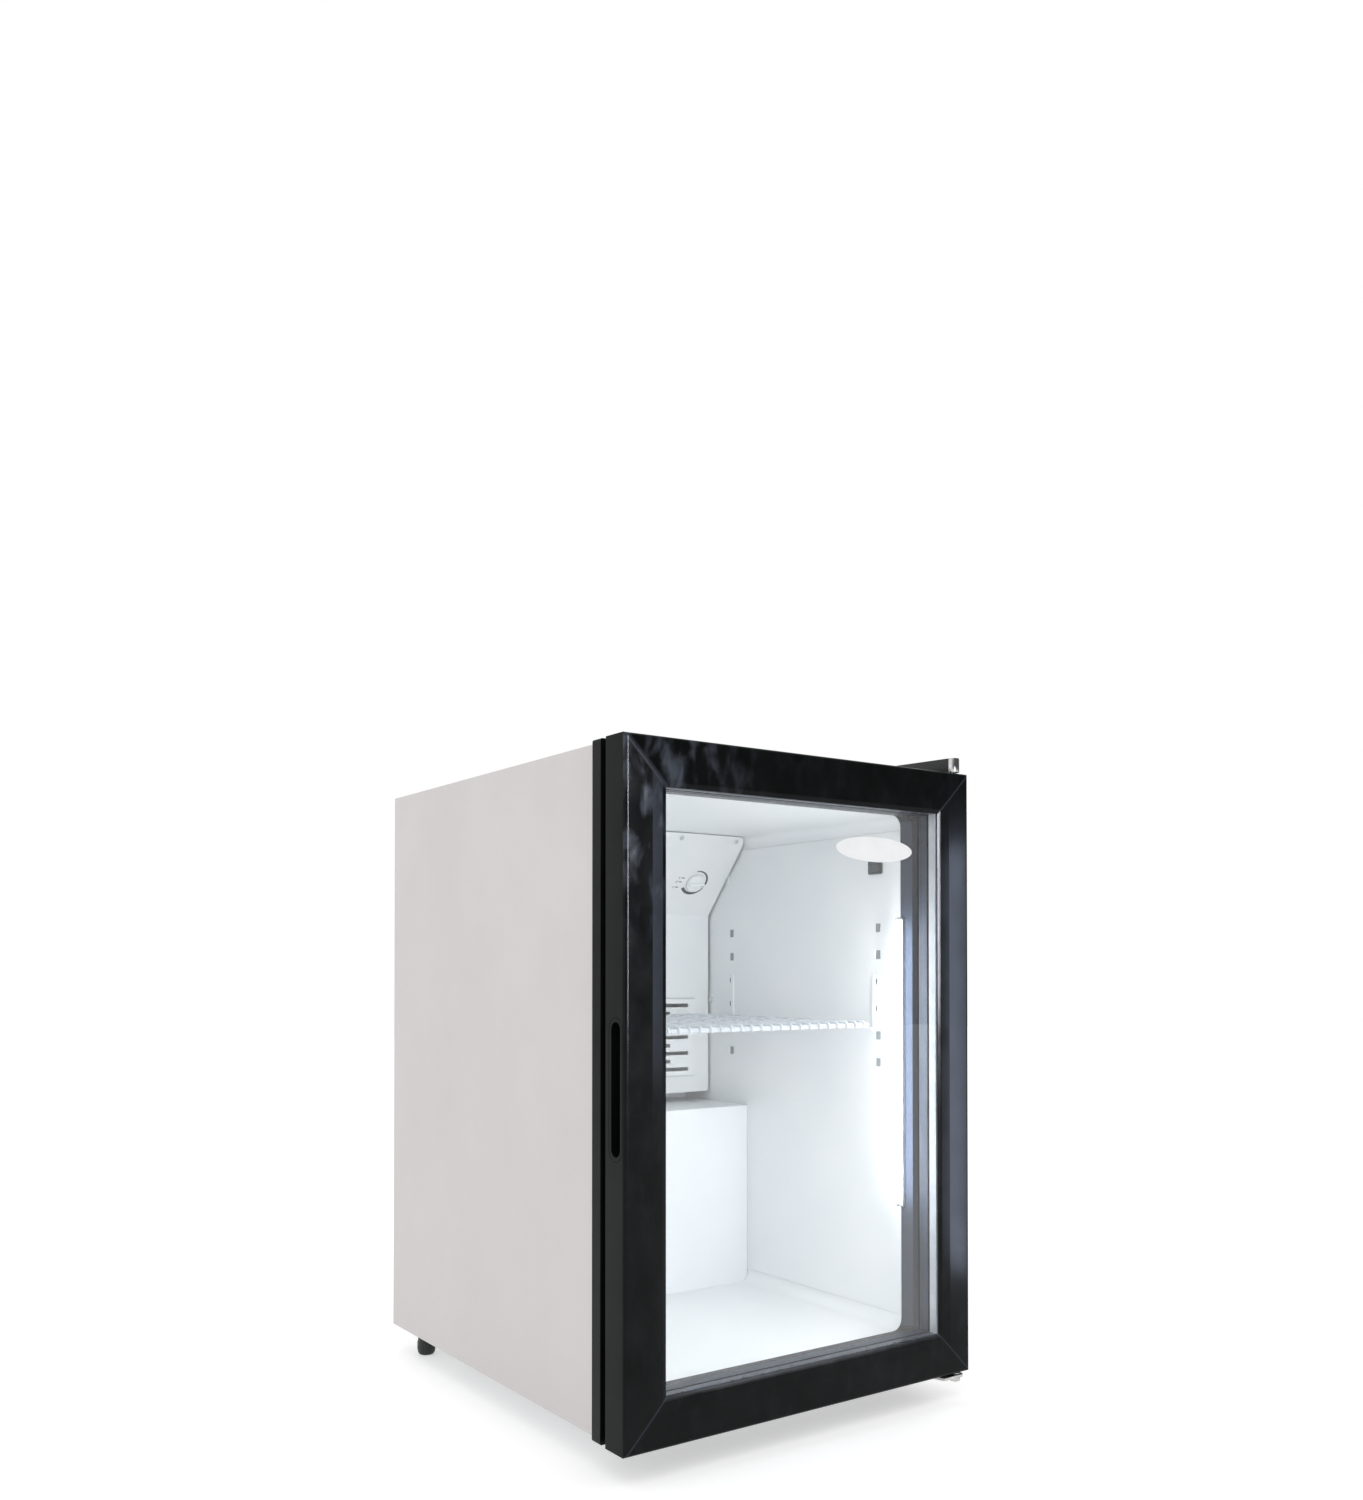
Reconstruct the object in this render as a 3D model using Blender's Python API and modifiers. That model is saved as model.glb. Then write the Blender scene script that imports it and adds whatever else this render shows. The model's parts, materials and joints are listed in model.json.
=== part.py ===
# Beverage refrigerator: a countertop cooler with a glass door.
# Metres, +Z up, the door faces -Y and the hinges are on its +X side.

import math

import bmesh
import bpy
from mathutils import Matrix, Vector

for old in list(bpy.data.objects):
    bpy.data.objects.remove(old, do_unlink=True)

# Gap left between pieces that touch
FIT = 0.0003

# Door: frame section and glass unit
DOOR_THICKNESS = 0.033
FRAME_FACE = 0.0445
FRAME_FLAT = 0.029
FRAME_SLOPE = 0.0115
FRAME_SINK = 0.0008
FRAME_ROUND = 0.0035
FRAME_LIP = 0.0006
REBATE = 0.0125
GLASS_SETBACK = 0.003
PANE = 0.003
SPACER_DEPTH = 0.010
SPACER_WIDTH = 0.008
GASKET_GAP = 0.007
GASKET_INSET = 0.019
GASKET_WIDTH = 0.018

# Finger grip in the edge of the left stile
GRIP_LENGTH = 0.118
GRIP_WIDTH = 0.0143
GRIP_DEPTH = 0.012
GRIP_WALL = 0.0015
GRIP_BEZEL = 0.0038
GRIP_ABOVE_MIDDLE = 0.0025
GRIP_SETBACK = 0.015

# Cabinet shell
OVERHANG = 0.003
FRONT_FRAME_DEPTH = 0.0145
FRONT_FRAME_RETURN = 0.003
FOOT_HEIGHT = 0.028
FOOT_RADIUS = 0.0105
FRONT_FOOT_INSET = 0.062
FRONT_FOOT_SETBACK = 0.100
REAR_FOOT_INSET = 0.022
REAR_FOOT_BACK_GAP = 0.0454
SHEET = 0.001
LIP = 0.012

# Liner: inner size of the cold space, its soft corners, and the insulation round it
LINER = 0.0015
LINER_WIDTH = 0.340
LINER_HEIGHT = 0.547
LINER_DEPTH = 0.3975
LINER_RADIUS = 0.012
LINER_TURN = 0.015
WALL_INSULATION = 0.042
FLOOR_INSULATION = 0.035
CEILING_INSULATION = 0.039
BACK_INSULATION = 0.0555

# Step over the compressor
STEP_HEIGHT = 0.216
STEP_DEPTH = 0.133
STEP_INSULATION = 0.036

# Shelf slots in the liner walls, shelf and clips
SLOT_ROWS = 6
SLOT_PITCH = 0.0293
SLOT_WIDTH = 0.008
SLOT_HEIGHT = 0.0095
SLOT_ABOVE_STEP = 0.066
SLOT_FRONT = 0.0345
SLOT_REAR_GAP = 0.0457
CLIP_ROW = 2
CLIP_WIDTH = 0.0124
CLIP_PLATE = 0.0025
CLIP_DROP = 0.0205
CLIP_LEDGE = 0.013
CLIP_LEDGE_THICKNESS = 0.004
SHELF_SIDE_GAP = 0.007
SHELF_FRONT = 0.032
SHELF_REAR_GAP = 0.014
SHELF_ROD = 0.0025
SHELF_WIRE = 0.0015
SHELF_WIRES = 20
WELD_BITE = 0.0006

# Evaporator cover, air grille and fan
COVER_SPACE = 0.055
COVER_RUN = 0.0805
COVER_DROP = 0.095
COVER_GAP = 0.012
COVER_LIP = 0.012
COVER_SIDE_GAP = 0.003
GRILLE_SIDE_GAP = 0.0265
GRILLE_HEIGHT = 0.096
GRILLE_DEPTH = 0.006
GRILLE_WALL = 0.0015
GRILLE_ABOVE_STEP = 0.082
WINDOW_GAP = 0.006
LOUVRE_ROWS = 5
LOUVRE_COUNT = 5
LOUVRE_ROW_PITCH = 0.020
LOUVRE_HEIGHT = 0.0045
LOUVRE_GAP = 0.011
LOUVRE_MARGIN = 0.0125
FAN_SIZE = 0.080
FAN_DEPTH = 0.025
FAN_WALL = 0.002
FAN_HUB = 0.016
FAN_BLADES = 7
FAN_PITCH = math.radians(35)
COIL_SIDE_GAP = 0.055
COIL_TOP_GAP = 0.061
COIL_BOTTOM_GAP = 0.030
COIL_DEPTH = 0.022
COIL_PASSES = 5

# Thermostat
DIAL_INSET = 0.0485
DIAL_DROP = 0.0715
KNOB_RADIUS = 0.0125
KNOB_HEIGHT = 0.013
STEM_RADIUS = 0.003
THERMOSTAT_WIDTH = 0.044
THERMOSTAT_HEIGHT = 0.030
THERMOSTAT_DEPTH = 0.026

# Lamp and light switch on the right wall
LAMP_WIDTH = 0.010
LAMP_DEPTH = 0.0035
LAMP_WALL = 0.0009
LAMP_BOTTOM_GAP = 0.131
LAMP_TOP_GAP = 0.109
LAMP_OVERLAP = 0.007
SWITCH_LENGTH = 0.021
SWITCH_HEIGHT = 0.015
SWITCH_BEZEL = 0.0018
SWITCH_BODY_DEPTH = 0.013
SWITCH_SETBACK = 0.037
SWITCH_DROP = 0.0525
ROCKER_LENGTH = 0.0144
ROCKER_WIDTH = 0.0099
ROCKER_TILT = math.radians(8)

# Hinges
HINGE_INSET = 0.0145
HINGE_SETBACK = 0.008
HINGE_LIFT = 0.0018
HINGE_PLATE = 0.002
PIN_RADIUS = 0.003
PIN_ENGAGE = 0.009
BOSS_RADIUS = 0.0066
COVER_HEIGHT = 0.016
COVER_LENGTH = 0.112
COVER_FLARE = 0.0235
COVER_WALL = 0.002
BOTTOM_PLATE = 0.003
BOTTOM_PLATE_WIDTH = 0.034
BOTTOM_PLATE_LENGTH = 0.102

# Compressor niche and condenser
BASE_SHEET = 0.0018
BASE_LIP = 0.020
COMPRESSOR_X = 0.030
COMPRESSOR_RADIUS = 0.060
COMPRESSOR_HEIGHT = 0.150
COMPRESSOR_BACK_GAP = 0.0764
EAR_LENGTH = 0.165
EAR_WIDTH = 0.110
EAR_THICKNESS = 0.0025
GROMMET_HEIGHT = 0.010
GROMMET_RADIUS = 0.010
PAN_LENGTH = 0.120
PAN_WIDTH = 0.100
PAN_HEIGHT = 0.024
PAN_WALL = 0.0015
TUBE_BEND = 0.012
SUCTION_RADIUS = 0.004
SUCTION_REACH = 0.026
DISCHARGE_RADIUS = 0.003
DISCHARGE_REACH = 0.028
DRIER_RADIUS = 0.0095
DRIER_LENGTH = 0.095
DRIER_INSET = 0.0307
DRIER_BACK_GAP = 0.026
DRIER_DROP = 0.060
CAPILLARY_RADIUS = 0.0012
CAPILLARY_LOOP = 0.018
CAPILLARY_REACH = 0.025
CONDENSER_STANDOFF = 0.016
CONDENSER_TOP_GAP = 0.055
CONDENSER_BOTTOM_GAP = 0.045
CONDENSER_PASSES = 9
CONDENSER_TUBE = 0.0024
CONDENSER_WIRE = 0.0008
CONDENSER_WIRES = 12
WIRE_INSET = 0.010
WIRE_END = 0.012
OUTLET_DROP = 0.030
RISER_INSET = 0.0257
RISER_GAP = 0.0059
RISER_DROP = 0.070
GLAND_X = -0.100
GLAND_RADIUS = 0.006
GLAND_FLANGE = 0.0085
GLAND_BORE = 0.0035

# Colour, roughness and metallic value of each finish
FINISHES = {
    "side paint": ("D3CFCF", 0.38, 0.0),
    "rear steel": ("B9BBBC", 0.42, 0.7),
    "black gloss": ("16181A", 0.20, 0.0),
    "black plastic": ("1D1F20", 0.45, 0.0),
    "grey plastic": ("4A4D50", 0.45, 0.0),
    "white liner": ("E8ECEE", 0.40, 0.0),
    "white plastic": ("F2F3F2", 0.42, 0.0),
    "foam": ("E9DDB4", 0.90, 0.0),
    "glass": ("DCE6E8", 0.05, 0.0),
    "spacer": ("D9DDE0", 0.35, 0.6),
    "rubber": ("2A2C2E", 0.70, 0.0),
    "white wire": ("EEF0F0", 0.35, 0.0),
    "chrome": ("C4C4C4", 0.18, 1.0),
    "aluminium": ("C8CBCD", 0.35, 1.0),
    "copper": ("B87351", 0.32, 1.0),
    "black paint": ("151617", 0.40, 0.0),
    "lamp": ("FFFFFF", 0.30, 0.0),
}

# Layout across the depth, from the door face to the back
glass_back = GLASS_SETBACK + 2 * PANE + SPACER_DEPTH
wire_offset = CONDENSER_TUBE + CONDENSER_WIRE - WELD_BITE
total_depth = (
    DOOR_THICKNESS + GASKET_GAP + FRONT_FRAME_DEPTH + FRONT_FRAME_RETURN + LINER_DEPTH
    + BACK_INSULATION + CONDENSER_STANDOFF + wire_offset + CONDENSER_WIRE
)
front = -total_depth / 2
door_back = front + DOOR_THICKNESS
frame_front = door_back + GASKET_GAP
panel_front = frame_front + FRONT_FRAME_DEPTH
shell_front = panel_front + 2 * FIT + SHEET
liner_front = panel_front + FRONT_FRAME_RETURN + FIT
liner_back = liner_front - FIT + LINER_DEPTH
step_face = liner_back - STEP_DEPTH
niche_front = step_face + STEP_INSULATION
cover_face = liner_back - COVER_SPACE
back = liner_back + BACK_INSULATION
back_panel_rear = back - SHEET - FIT
back_panel_front = back_panel_rear - SHEET
condenser_y = back + CONDENSER_STANDOFF
slot_columns = (("front", liner_front + SLOT_FRONT), ("rear", cover_face - SLOT_REAR_GAP))

# Layout over the height, from the ground up
base = FOOT_HEIGHT
floor = base + FLOOR_INSULATION
ceiling = floor + LINER_HEIGHT
cabinet_top = ceiling + CEILING_INSULATION
door_bottom = base - OVERHANG
door_top = cabinet_top + OVERHANG
step_top = floor + STEP_HEIGHT
niche_ceiling = step_top - STEP_INSULATION
grille_z = step_top + GRILLE_ABOVE_STEP
slot_lowest = step_top + SLOT_ABOVE_STEP
clip_hook = slot_lowest + CLIP_ROW * SLOT_PITCH
shelf_bottom = clip_hook - CLIP_DROP + FIT

# Layout across the width
liner_side = LINER_WIDTH / 2
panel_side = liner_side + WALL_INSULATION
door_side = panel_side + OVERHANG
shell_side = panel_side - SHEET - FIT
hinge_x = door_side - HINGE_INSET
hinge_y = front + HINGE_SETBACK

parts = bpy.data.collections.new("beverage_refrigerator")
cutters = bpy.data.collections.new("cutters_and_joined_shapes")
bpy.context.scene.collection.children.link(parts)
bpy.context.scene.collection.children.link(cutters)

# Turns an outline in the named plane upright, its thickness along the third axis
TURNS = {
    "xy": (Matrix.Identity(4), Vector((0, 0, 1))),
    "yz": (Matrix(((0, 0, 1, 0), (1, 0, 0, 0), (0, 1, 0, 0), (0, 0, 0, 1))), Vector((1, 0, 0))),
    "xz": (Matrix(((1, 0, 0, 0), (0, 0, -1, 0), (0, 1, 0, 0), (0, 0, 0, 1))), Vector((0, 1, 0))),
}


def linear(code):
    channels = [int(code[i:i + 2], 16) / 255 for i in (0, 2, 4)]
    return [c / 12.92 if c <= 0.04045 else ((c + 0.055) / 1.055) ** 2.4 for c in channels] + [1.0]


def paint(piece, finish):
    code, roughness, metallic = FINISHES[finish]
    coat = bpy.data.materials.new(piece.name)
    coat.use_nodes = True
    shader = coat.node_tree.nodes["Principled BSDF"]
    shader.inputs["Base Color"].default_value = linear(code)
    shader.inputs["Roughness"].default_value = roughness
    shader.inputs["Metallic"].default_value = metallic
    piece.data.materials.append(coat)


# A shape with a finish is a piece of the object; one without only cuts or joins another
def place(name, mesh, finish):
    piece = bpy.data.objects.new(name, mesh)
    if finish:
        parts.objects.link(piece)
        paint(piece, finish)
    else:
        cutters.objects.link(piece)
        piece.hide_render = True
        piece.display_type = "WIRE"
    return piece


def filled_mesh(name, shape):
    mesh = bpy.data.meshes.new(name)
    shape.to_mesh(mesh)
    shape.free()
    return mesh


def box(name, low, high, finish=None):
    low, high = Vector(low), Vector(high)
    shape = bmesh.new()
    bmesh.ops.create_cube(shape, size=1.0)
    bmesh.ops.scale(shape, vec=high - low, verts=shape.verts)
    piece = place(name, filled_mesh(name, shape), finish)
    piece.location = (low + high) / 2
    return piece


# Several separate blocks as one cutting or joining shape
def blocks(name, spans):
    shape = bmesh.new()
    for low, high in spans:
        low, high = Vector(low), Vector(high)
        block = bmesh.ops.create_cube(shape, size=1.0)["verts"]
        bmesh.ops.scale(shape, vec=high - low, verts=block)
        bmesh.ops.translate(shape, vec=(low + high) / 2, verts=block)
    return place(name, filled_mesh(name, shape), None)


def curve_mesh(name, curve):
    holder = bpy.data.objects.new(name, curve)
    bpy.context.scene.collection.objects.link(holder)
    bpy.context.view_layer.update()
    graph = bpy.context.evaluated_depsgraph_get()
    mesh = bpy.data.meshes.new_from_object(holder.evaluated_get(graph))
    bpy.data.objects.remove(holder)
    shape = bmesh.new()
    shape.from_mesh(mesh)
    bmesh.ops.remove_doubles(shape, verts=shape.verts, dist=1e-6)
    bmesh.ops.recalc_face_normals(shape, faces=shape.faces)
    return filled_mesh(name, shape)


def add_path(curve, points, closed):
    spline = curve.splines.new("POLY")
    spline.points.add(len(points) - 1)
    for node, point in zip(spline.points, points):
        node.co = (*point, 0, 1) if len(point) == 2 else (*point, 1)
    spline.use_cyclic_u = closed


# A flat outline, with holes as further outlines, thickened from low to high
def plate(name, outlines, plane, low, high, finish=None):
    curve = bpy.data.curves.new(name, "CURVE")
    curve.dimensions = "2D"
    curve.fill_mode = "BOTH"
    curve.extrude = (high - low) / 2
    for points in outlines:
        add_path(curve, points, True)
    piece = place(name, curve_mesh(name, curve), finish)
    turn, axis = TURNS[plane]
    piece.matrix_basis = Matrix.Translation(axis * (low + high) / 2) @ turn
    return piece


# One or more round bars along paths
def tube(name, paths, radius, finish=None, closed=False, sides=2):
    curve = bpy.data.curves.new(name, "CURVE")
    curve.dimensions = "3D"
    curve.bevel_depth = radius
    curve.bevel_resolution = sides
    curve.use_fill_caps = True
    for points in paths:
        add_path(curve, points, closed)
    mesh = curve_mesh(name, curve)
    mesh.shade_smooth()
    mesh.set_sharp_from_angle(angle=math.radians(50))
    return place(name, mesh, finish)


# A round solid about its local Z from a profile of (radius, height), top to bottom
def turned(name, profile, steps, finish=None):
    shape = bmesh.new()
    rim = [shape.verts.new((radius, 0, height)) for radius, height in profile]
    for upper, lower in zip(rim, rim[1:]):
        shape.edges.new((upper, lower))
    piece = place(name, filled_mesh(name, shape), finish)
    screw = piece.modifiers.new("Screw", "SCREW")
    screw.steps = steps
    screw.render_steps = steps
    screw.use_merge_vertices = True
    screw.merge_threshold = 1e-5
    screw.use_smooth_shade = True
    return piece


def combine(piece, others, operation):
    for other in others:
        modifier = piece.modifiers.new(other.name, "BOOLEAN")
        modifier.operation = operation
        modifier.object = other
        modifier.solver = "EXACT"
    return piece


def cut(piece, *tools):
    return combine(piece, tools, "DIFFERENCE")


def join(piece, *others):
    return combine(piece, others, "UNION")


def move(piece, matrix):
    piece.matrix_basis = matrix @ piece.matrix_basis
    return piece


def rectangle(low_a, high_a, low_b, high_b):
    return [(low_a, low_b), (high_a, low_b), (high_a, high_b), (low_a, high_b)]


def arc(a, b, radius, start, end, steps):
    angles = [math.radians(start + (end - start) * i / steps) for i in range(steps + 1)]
    return [(a + radius * math.cos(t), b + radius * math.sin(t)) for t in angles]


# A rectangle with its upper corners rounded
def arched(low_a, high_a, low_b, high_b, radius, steps=4):
    return (
        [(low_a, low_b), (high_a, low_b)] + arc(high_a - radius, high_b - radius, radius, 0, 90, steps)
        + arc(low_a + radius, high_b - radius, radius, 90, 180, steps)
    )


def rounded(low_a, high_a, low_b, high_b, radius, steps=4):
    lower = (
        arc(low_a + radius, low_b + radius, radius, 180, 270, steps)
        + arc(high_a - radius, low_b + radius, radius, 270, 360, steps)
    )
    return lower + arched(low_a, high_a, low_b, high_b, radius, steps)[2:]


def obround(a, b, length, width):
    shift = (length - width) / 2
    return arc(a, b - shift, width / 2, 180, 360, 10) + arc(a, b + shift, width / 2, 0, 180, 10)


def disc(a, b, radius, count=24):
    return arc(a, b, radius, 0, 360, count)[:-1]


# Outline of a bent sheet: the path is one face, the thickness lies to its left
def strip(path, thickness):
    path = [Vector(point) for point in path]
    runs = [(b - a).normalized() for a, b in zip(path, path[1:])]
    normals = [Vector((-run.y, run.x)) for run in runs]
    other_face = []
    for i, point in enumerate(path):
        near = normals[max(i - 1, 0):i + 1]
        middle = sum(near, Vector((0, 0))).normalized()
        other_face.append(point + middle * thickness / middle.dot(near[0]))
    return [tuple(point) for point in path + other_face[::-1]]


# A path with its inner corners rounded off
def bent(path, radius, steps=4):
    path = [Vector(point) for point in path]
    points = [path[0]]
    for before, corner, after in zip(path, path[1:], path[2:]):
        start = corner + (before - corner).normalized() * radius
        end = corner + (after - corner).normalized() * radius
        for step in range(steps + 1):
            t = step / steps
            points.append(start * (1 - t) ** 2 + corner * 2 * t * (1 - t) + end * t ** 2)
    return [tuple(point) for point in points + [path[-1]]]


# Low and high x of a piece on the side given as -1 or 1
def across(side, inner, outer):
    return sorted((side * inner, side * outer))


# Cabinet shell
def side_panel(name, side):
    path = [
        (side * (panel_side - LIP), panel_front + FIT), (side * panel_side, panel_front + FIT),
        (side * panel_side, back), (side * (panel_side - LIP), back),
    ]
    return plate(name, [strip(path, side * SHEET)], "xy", base, cabinet_top, "side paint")


def shell():
    side_panel("left_side_panel", -1)
    side_panel("right_side_panel", 1)
    box("top_panel", (-shell_side, shell_front, cabinet_top - SHEET),
        (shell_side, back_panel_rear, cabinet_top), "side paint")
    box("back_panel", (-shell_side, back_panel_front, niche_ceiling),
        (shell_side, back_panel_rear, cabinet_top - SHEET - FIT), "rear steel")
    box("base_pan", (-shell_side, shell_front, base),
        (shell_side, niche_front - SHEET - FIT, base + SHEET), "rear steel")
    niche = [(niche_front, base), (niche_front, niche_ceiling), (back_panel_front - FIT, niche_ceiling)]
    plate("niche_panel", [strip(niche, SHEET)], "yz", -shell_side, shell_side, "rear steel")
    tray = [(niche_front + FIT, base), (back_panel_rear, base), (back_panel_rear, base + BASE_LIP)]
    tray = plate("compressor_base", [strip(tray, BASE_SHEET)], "yz", -shell_side, shell_side, "rear steel")
    hole = disc(GLAND_X, base + BASE_LIP / 2, GLAND_RADIUS, 16)
    cut(tray, plate("gland_hole", [hole], "xz", back - 0.01, back + 0.01))


# Section across the cold space, grown outwards
def liner_section(growth):
    side = liner_side + growth
    return rounded(-side, side, floor - growth, ceiling + growth, LINER_RADIUS + growth, 6)


def front_frame():
    outer = rounded(-door_side, door_side, door_bottom, door_top, 0.002, 3)
    inner = liner_section(0)
    frame = plate("front_frame", [outer, inner], "xz", frame_front, panel_front, "black gloss")
    collar = liner_section(LINER)
    join(frame, plate("frame_return", [collar, inner], "xz", panel_front - 0.003, liner_front - FIT))


def foam():
    skin = LINER + FIT
    block = box("foam_insulation", (-shell_side, shell_front, base + SHEET + FIT),
                (shell_side, back_panel_front - FIT, cabinet_top - SHEET - FIT), "foam")
    cut(
        block,
        plate("cold_space_front", [liner_section(skin)], "xz", frame_front, step_face + FIT),
        box("cold_space_step", (-liner_side - skin, step_face - FIT, floor - skin),
            (liner_side + skin, step_face + skin, step_top)),
        plate("cold_space_rear", [arched(
            -liner_side - skin, liner_side + skin, step_top - skin, ceiling + skin, LINER_RADIUS + skin, 6,
        )], "xz", step_face, liner_back + skin),
        box("niche_space", (-door_side, niche_front - SHEET - FIT, 0),
            (door_side, back + 0.01, niche_ceiling + SHEET + FIT)),
        switch_block("switch_pocket", FIT, SWITCH_BODY_DEPTH + FIT),
    )


def feet():
    height = FOOT_HEIGHT - FIT
    profile = [
        (0, height), (FOOT_RADIUS - 0.001, height), (FOOT_RADIUS, height - 0.004), (FOOT_RADIUS, 0.006),
        (FOOT_RADIUS - 0.0008, 0.0028), (FOOT_RADIUS - 0.0032, 0), (0, 0),
    ]
    rows = [
        ("front", panel_side - FRONT_FOOT_INSET, front + FRONT_FOOT_SETBACK),
        ("rear", panel_side - REAR_FOOT_INSET, back - REAR_FOOT_BACK_GAP),
    ]
    for row, x, y in rows:
        for name, side in (("left", -1), ("right", 1)):
            foot = turned(f"{row}_{name}_foot", profile, 20, "black plastic")
            foot.location = (side * x, y, 0)


# Liner of the cold space, in panels
def slot_outlines():
    outlines = []
    half_width, half_height = SLOT_WIDTH / 2, SLOT_HEIGHT / 2
    for _, y in slot_columns:
        for row in range(SLOT_ROWS):
            z = slot_lowest + row * SLOT_PITCH
            outlines.append(rectangle(y - half_width, y + half_width, z - half_height, z + half_height))
    return outlines


def liner_wall(name, side, holes):
    low, high = floor + LINER_TURN + FIT, ceiling - LINER_TURN - FIT
    outline = [
        (liner_front, low), (step_face + LINER, low),
        (step_face + LINER, step_top - LINER), (liner_back + LINER, step_top - LINER),
        (liner_back + LINER, high), (liner_front, high),
    ]
    low, high = across(side, liner_side, liner_side + LINER)
    return plate(name, [outline] + holes, "yz", low, high, "white liner")


# The ceiling or floor, whose sides turn round soft corners into the walls
def liner_tray(name, level, up, far):
    lip, corner = level - up * LINER_TURN, level - up * LINER_RADIUS
    centre = liner_side - LINER_RADIUS
    path = (
        [(-liner_side, lip)] + arc(-centre, corner, LINER_RADIUS, 180, 180 - up * 90, 6)
        + arc(centre, corner, LINER_RADIUS, up * 90, 0, 6) + [(liner_side, lip)]
    )
    plate(name, [strip(path, up * LINER)], "xz", liner_front, far, "white liner")


def liner():
    width = liner_side - FIT
    liner_wall("liner_left_wall", -1, slot_outlines())
    right = liner_wall("liner_right_wall", 1, slot_outlines())
    cut(right, switch_block("switch_hole", FIT, SWITCH_BODY_DEPTH))
    liner_tray("liner_ceiling", ceiling, 1, liner_back - FIT)
    liner_tray("liner_floor", floor, -1, step_face - FIT)
    step = [(step_face, floor - LINER), (step_face, step_top), (liner_back - FIT, step_top)]
    plate("liner_step", [strip(step, -LINER)], "yz", -width, width, "white liner")
    wall = arched(-width, width, step_top - LINER, ceiling + LINER, LINER_RADIUS, 6)
    plate("liner_back_wall", [wall], "xz", liner_back, liner_back + LINER, "white liner")


# Evaporator cover with its slanted upper part, grille, fan and coil
cover_top = Vector((0, cover_face - COVER_RUN, ceiling - FIT - SHEET))
cover_knee = Vector((0, cover_face, ceiling - COVER_DROP))
slant = (cover_knee - cover_top).normalized()
dial_out = Vector((1, 0, 0)).cross(-slant)
dial_centre = cover_top + slant * DIAL_DROP + Vector((liner_side - DIAL_INSET, 0, 0))
dial_axes = Matrix(((1, 0, 0), -slant, dial_out)).transposed().to_4x4()
dial_turn = Matrix.Translation(dial_centre) @ dial_axes
grille_side = liner_side - GRILLE_SIDE_GAP


def evaporator_cover():
    bottom = step_top + COVER_GAP
    path = [cover_top.yz, cover_knee.yz, (cover_face, bottom), (cover_face + COVER_LIP, bottom)]
    width = liner_side - COVER_SIDE_GAP
    cover = plate("evaporator_cover", [strip(path, SHEET)], "yz", -width, width, "white plastic")
    opening = disc(0, grille_z, FAN_SIZE / 2 - FAN_WALL, 32)
    window = (LOUVRE_ROWS - 1) * LOUVRE_ROW_PITCH / 2 + LOUVRE_HEIGHT
    windows = []
    for side in (-1, 1):
        near, far = across(side, FAN_SIZE / 2 + WINDOW_GAP, grille_side - LOUVRE_MARGIN)
        windows.append(((near, cover_face - 0.01, grille_z - window),
                        (far, cover_face + 0.01, grille_z + window)))
    around = rectangle(-door_side, door_side, 0, door_top)
    inside = arched(-width, width, base, ceiling - FIT, LINER_RADIUS, 6)
    cut(
        cover,
        plate("cover_corners", [around, inside], "xz", cover_top.y - 0.01, cover_face + COVER_LIP + 0.01),
        plate("fan_opening", [opening], "xz", cover_face - 0.01, cover_face + 0.01),
        blocks("return_air_windows", windows),
        move(plate("dial_hole", [disc(0, 0, STEM_RADIUS + 0.001)], "xy", -0.01, 0.01), dial_turn),
    )


def louvres(near, far):
    pitch = (2 * (grille_side - LOUVRE_MARGIN) + LOUVRE_GAP) / LOUVRE_COUNT
    half = (pitch - LOUVRE_GAP) / 2
    spans = []
    for row in range(2 * LOUVRE_ROWS - 1):
        z = grille_z + (LOUVRE_ROWS - 1 - row) * LOUVRE_ROW_PITCH / 2
        count = LOUVRE_COUNT - row % 2
        for i in range(count):
            x = (i - (count - 1) / 2) * pitch
            spans.append(((x - half, near, z - LOUVRE_HEIGHT / 2), (x + half, far, z + LOUVRE_HEIGHT / 2)))
    return blocks("louvres", spans)


def air_grille():
    low, high = grille_z - GRILLE_HEIGHT / 2, grille_z + GRILLE_HEIGHT / 2
    face = cover_face - FIT - GRILLE_DEPTH

    def outline(inset):
        side = grille_side - inset
        return rounded(-side, side, low + inset, high - inset, 0.004 - inset)

    grille = plate("air_grille", [outline(0)], "xz", face, cover_face - FIT, "white plastic")
    cut(grille, plate("grille_hollow", [outline(GRILLE_WALL)], "xz", face + GRILLE_WALL, cover_face + 0.01))
    cut(grille, louvres(face - 0.01, face + 0.01))


fan_front = cover_face + SHEET + FIT
fan_back = fan_front + FAN_DEPTH


def fan_frame():
    half = FAN_SIZE / 2
    bore = half - FAN_WALL
    outer = rounded(-half, half, grille_z - half, grille_z + half, 0.005)
    ring = [outer, disc(0, grille_z, bore, 32)]
    frame = plate("fan_frame", ring, "xz", fan_front, fan_back, "black plastic")
    rear = fan_back - 0.0035
    reach = bore + FAN_WALL / 2
    join(
        frame,
        box("fan_strut_upright", (-0.002, rear, grille_z - reach),
            (0.002, fan_back - 0.0005, grille_z + reach)),
        box("fan_strut_level", (-reach, rear, grille_z - 0.002), (reach, fan_back - 0.001, grille_z + 0.002)),
        plate("fan_motor", [disc(0, grille_z, FAN_HUB + 0.001)], "xz", rear - 0.001, fan_back),
    )
    cut(frame, plate("fan_bearing", [disc(0, grille_z, 0.002 + FIT, 16)], "xz", rear - 0.01, fan_back + 0.01))


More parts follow.
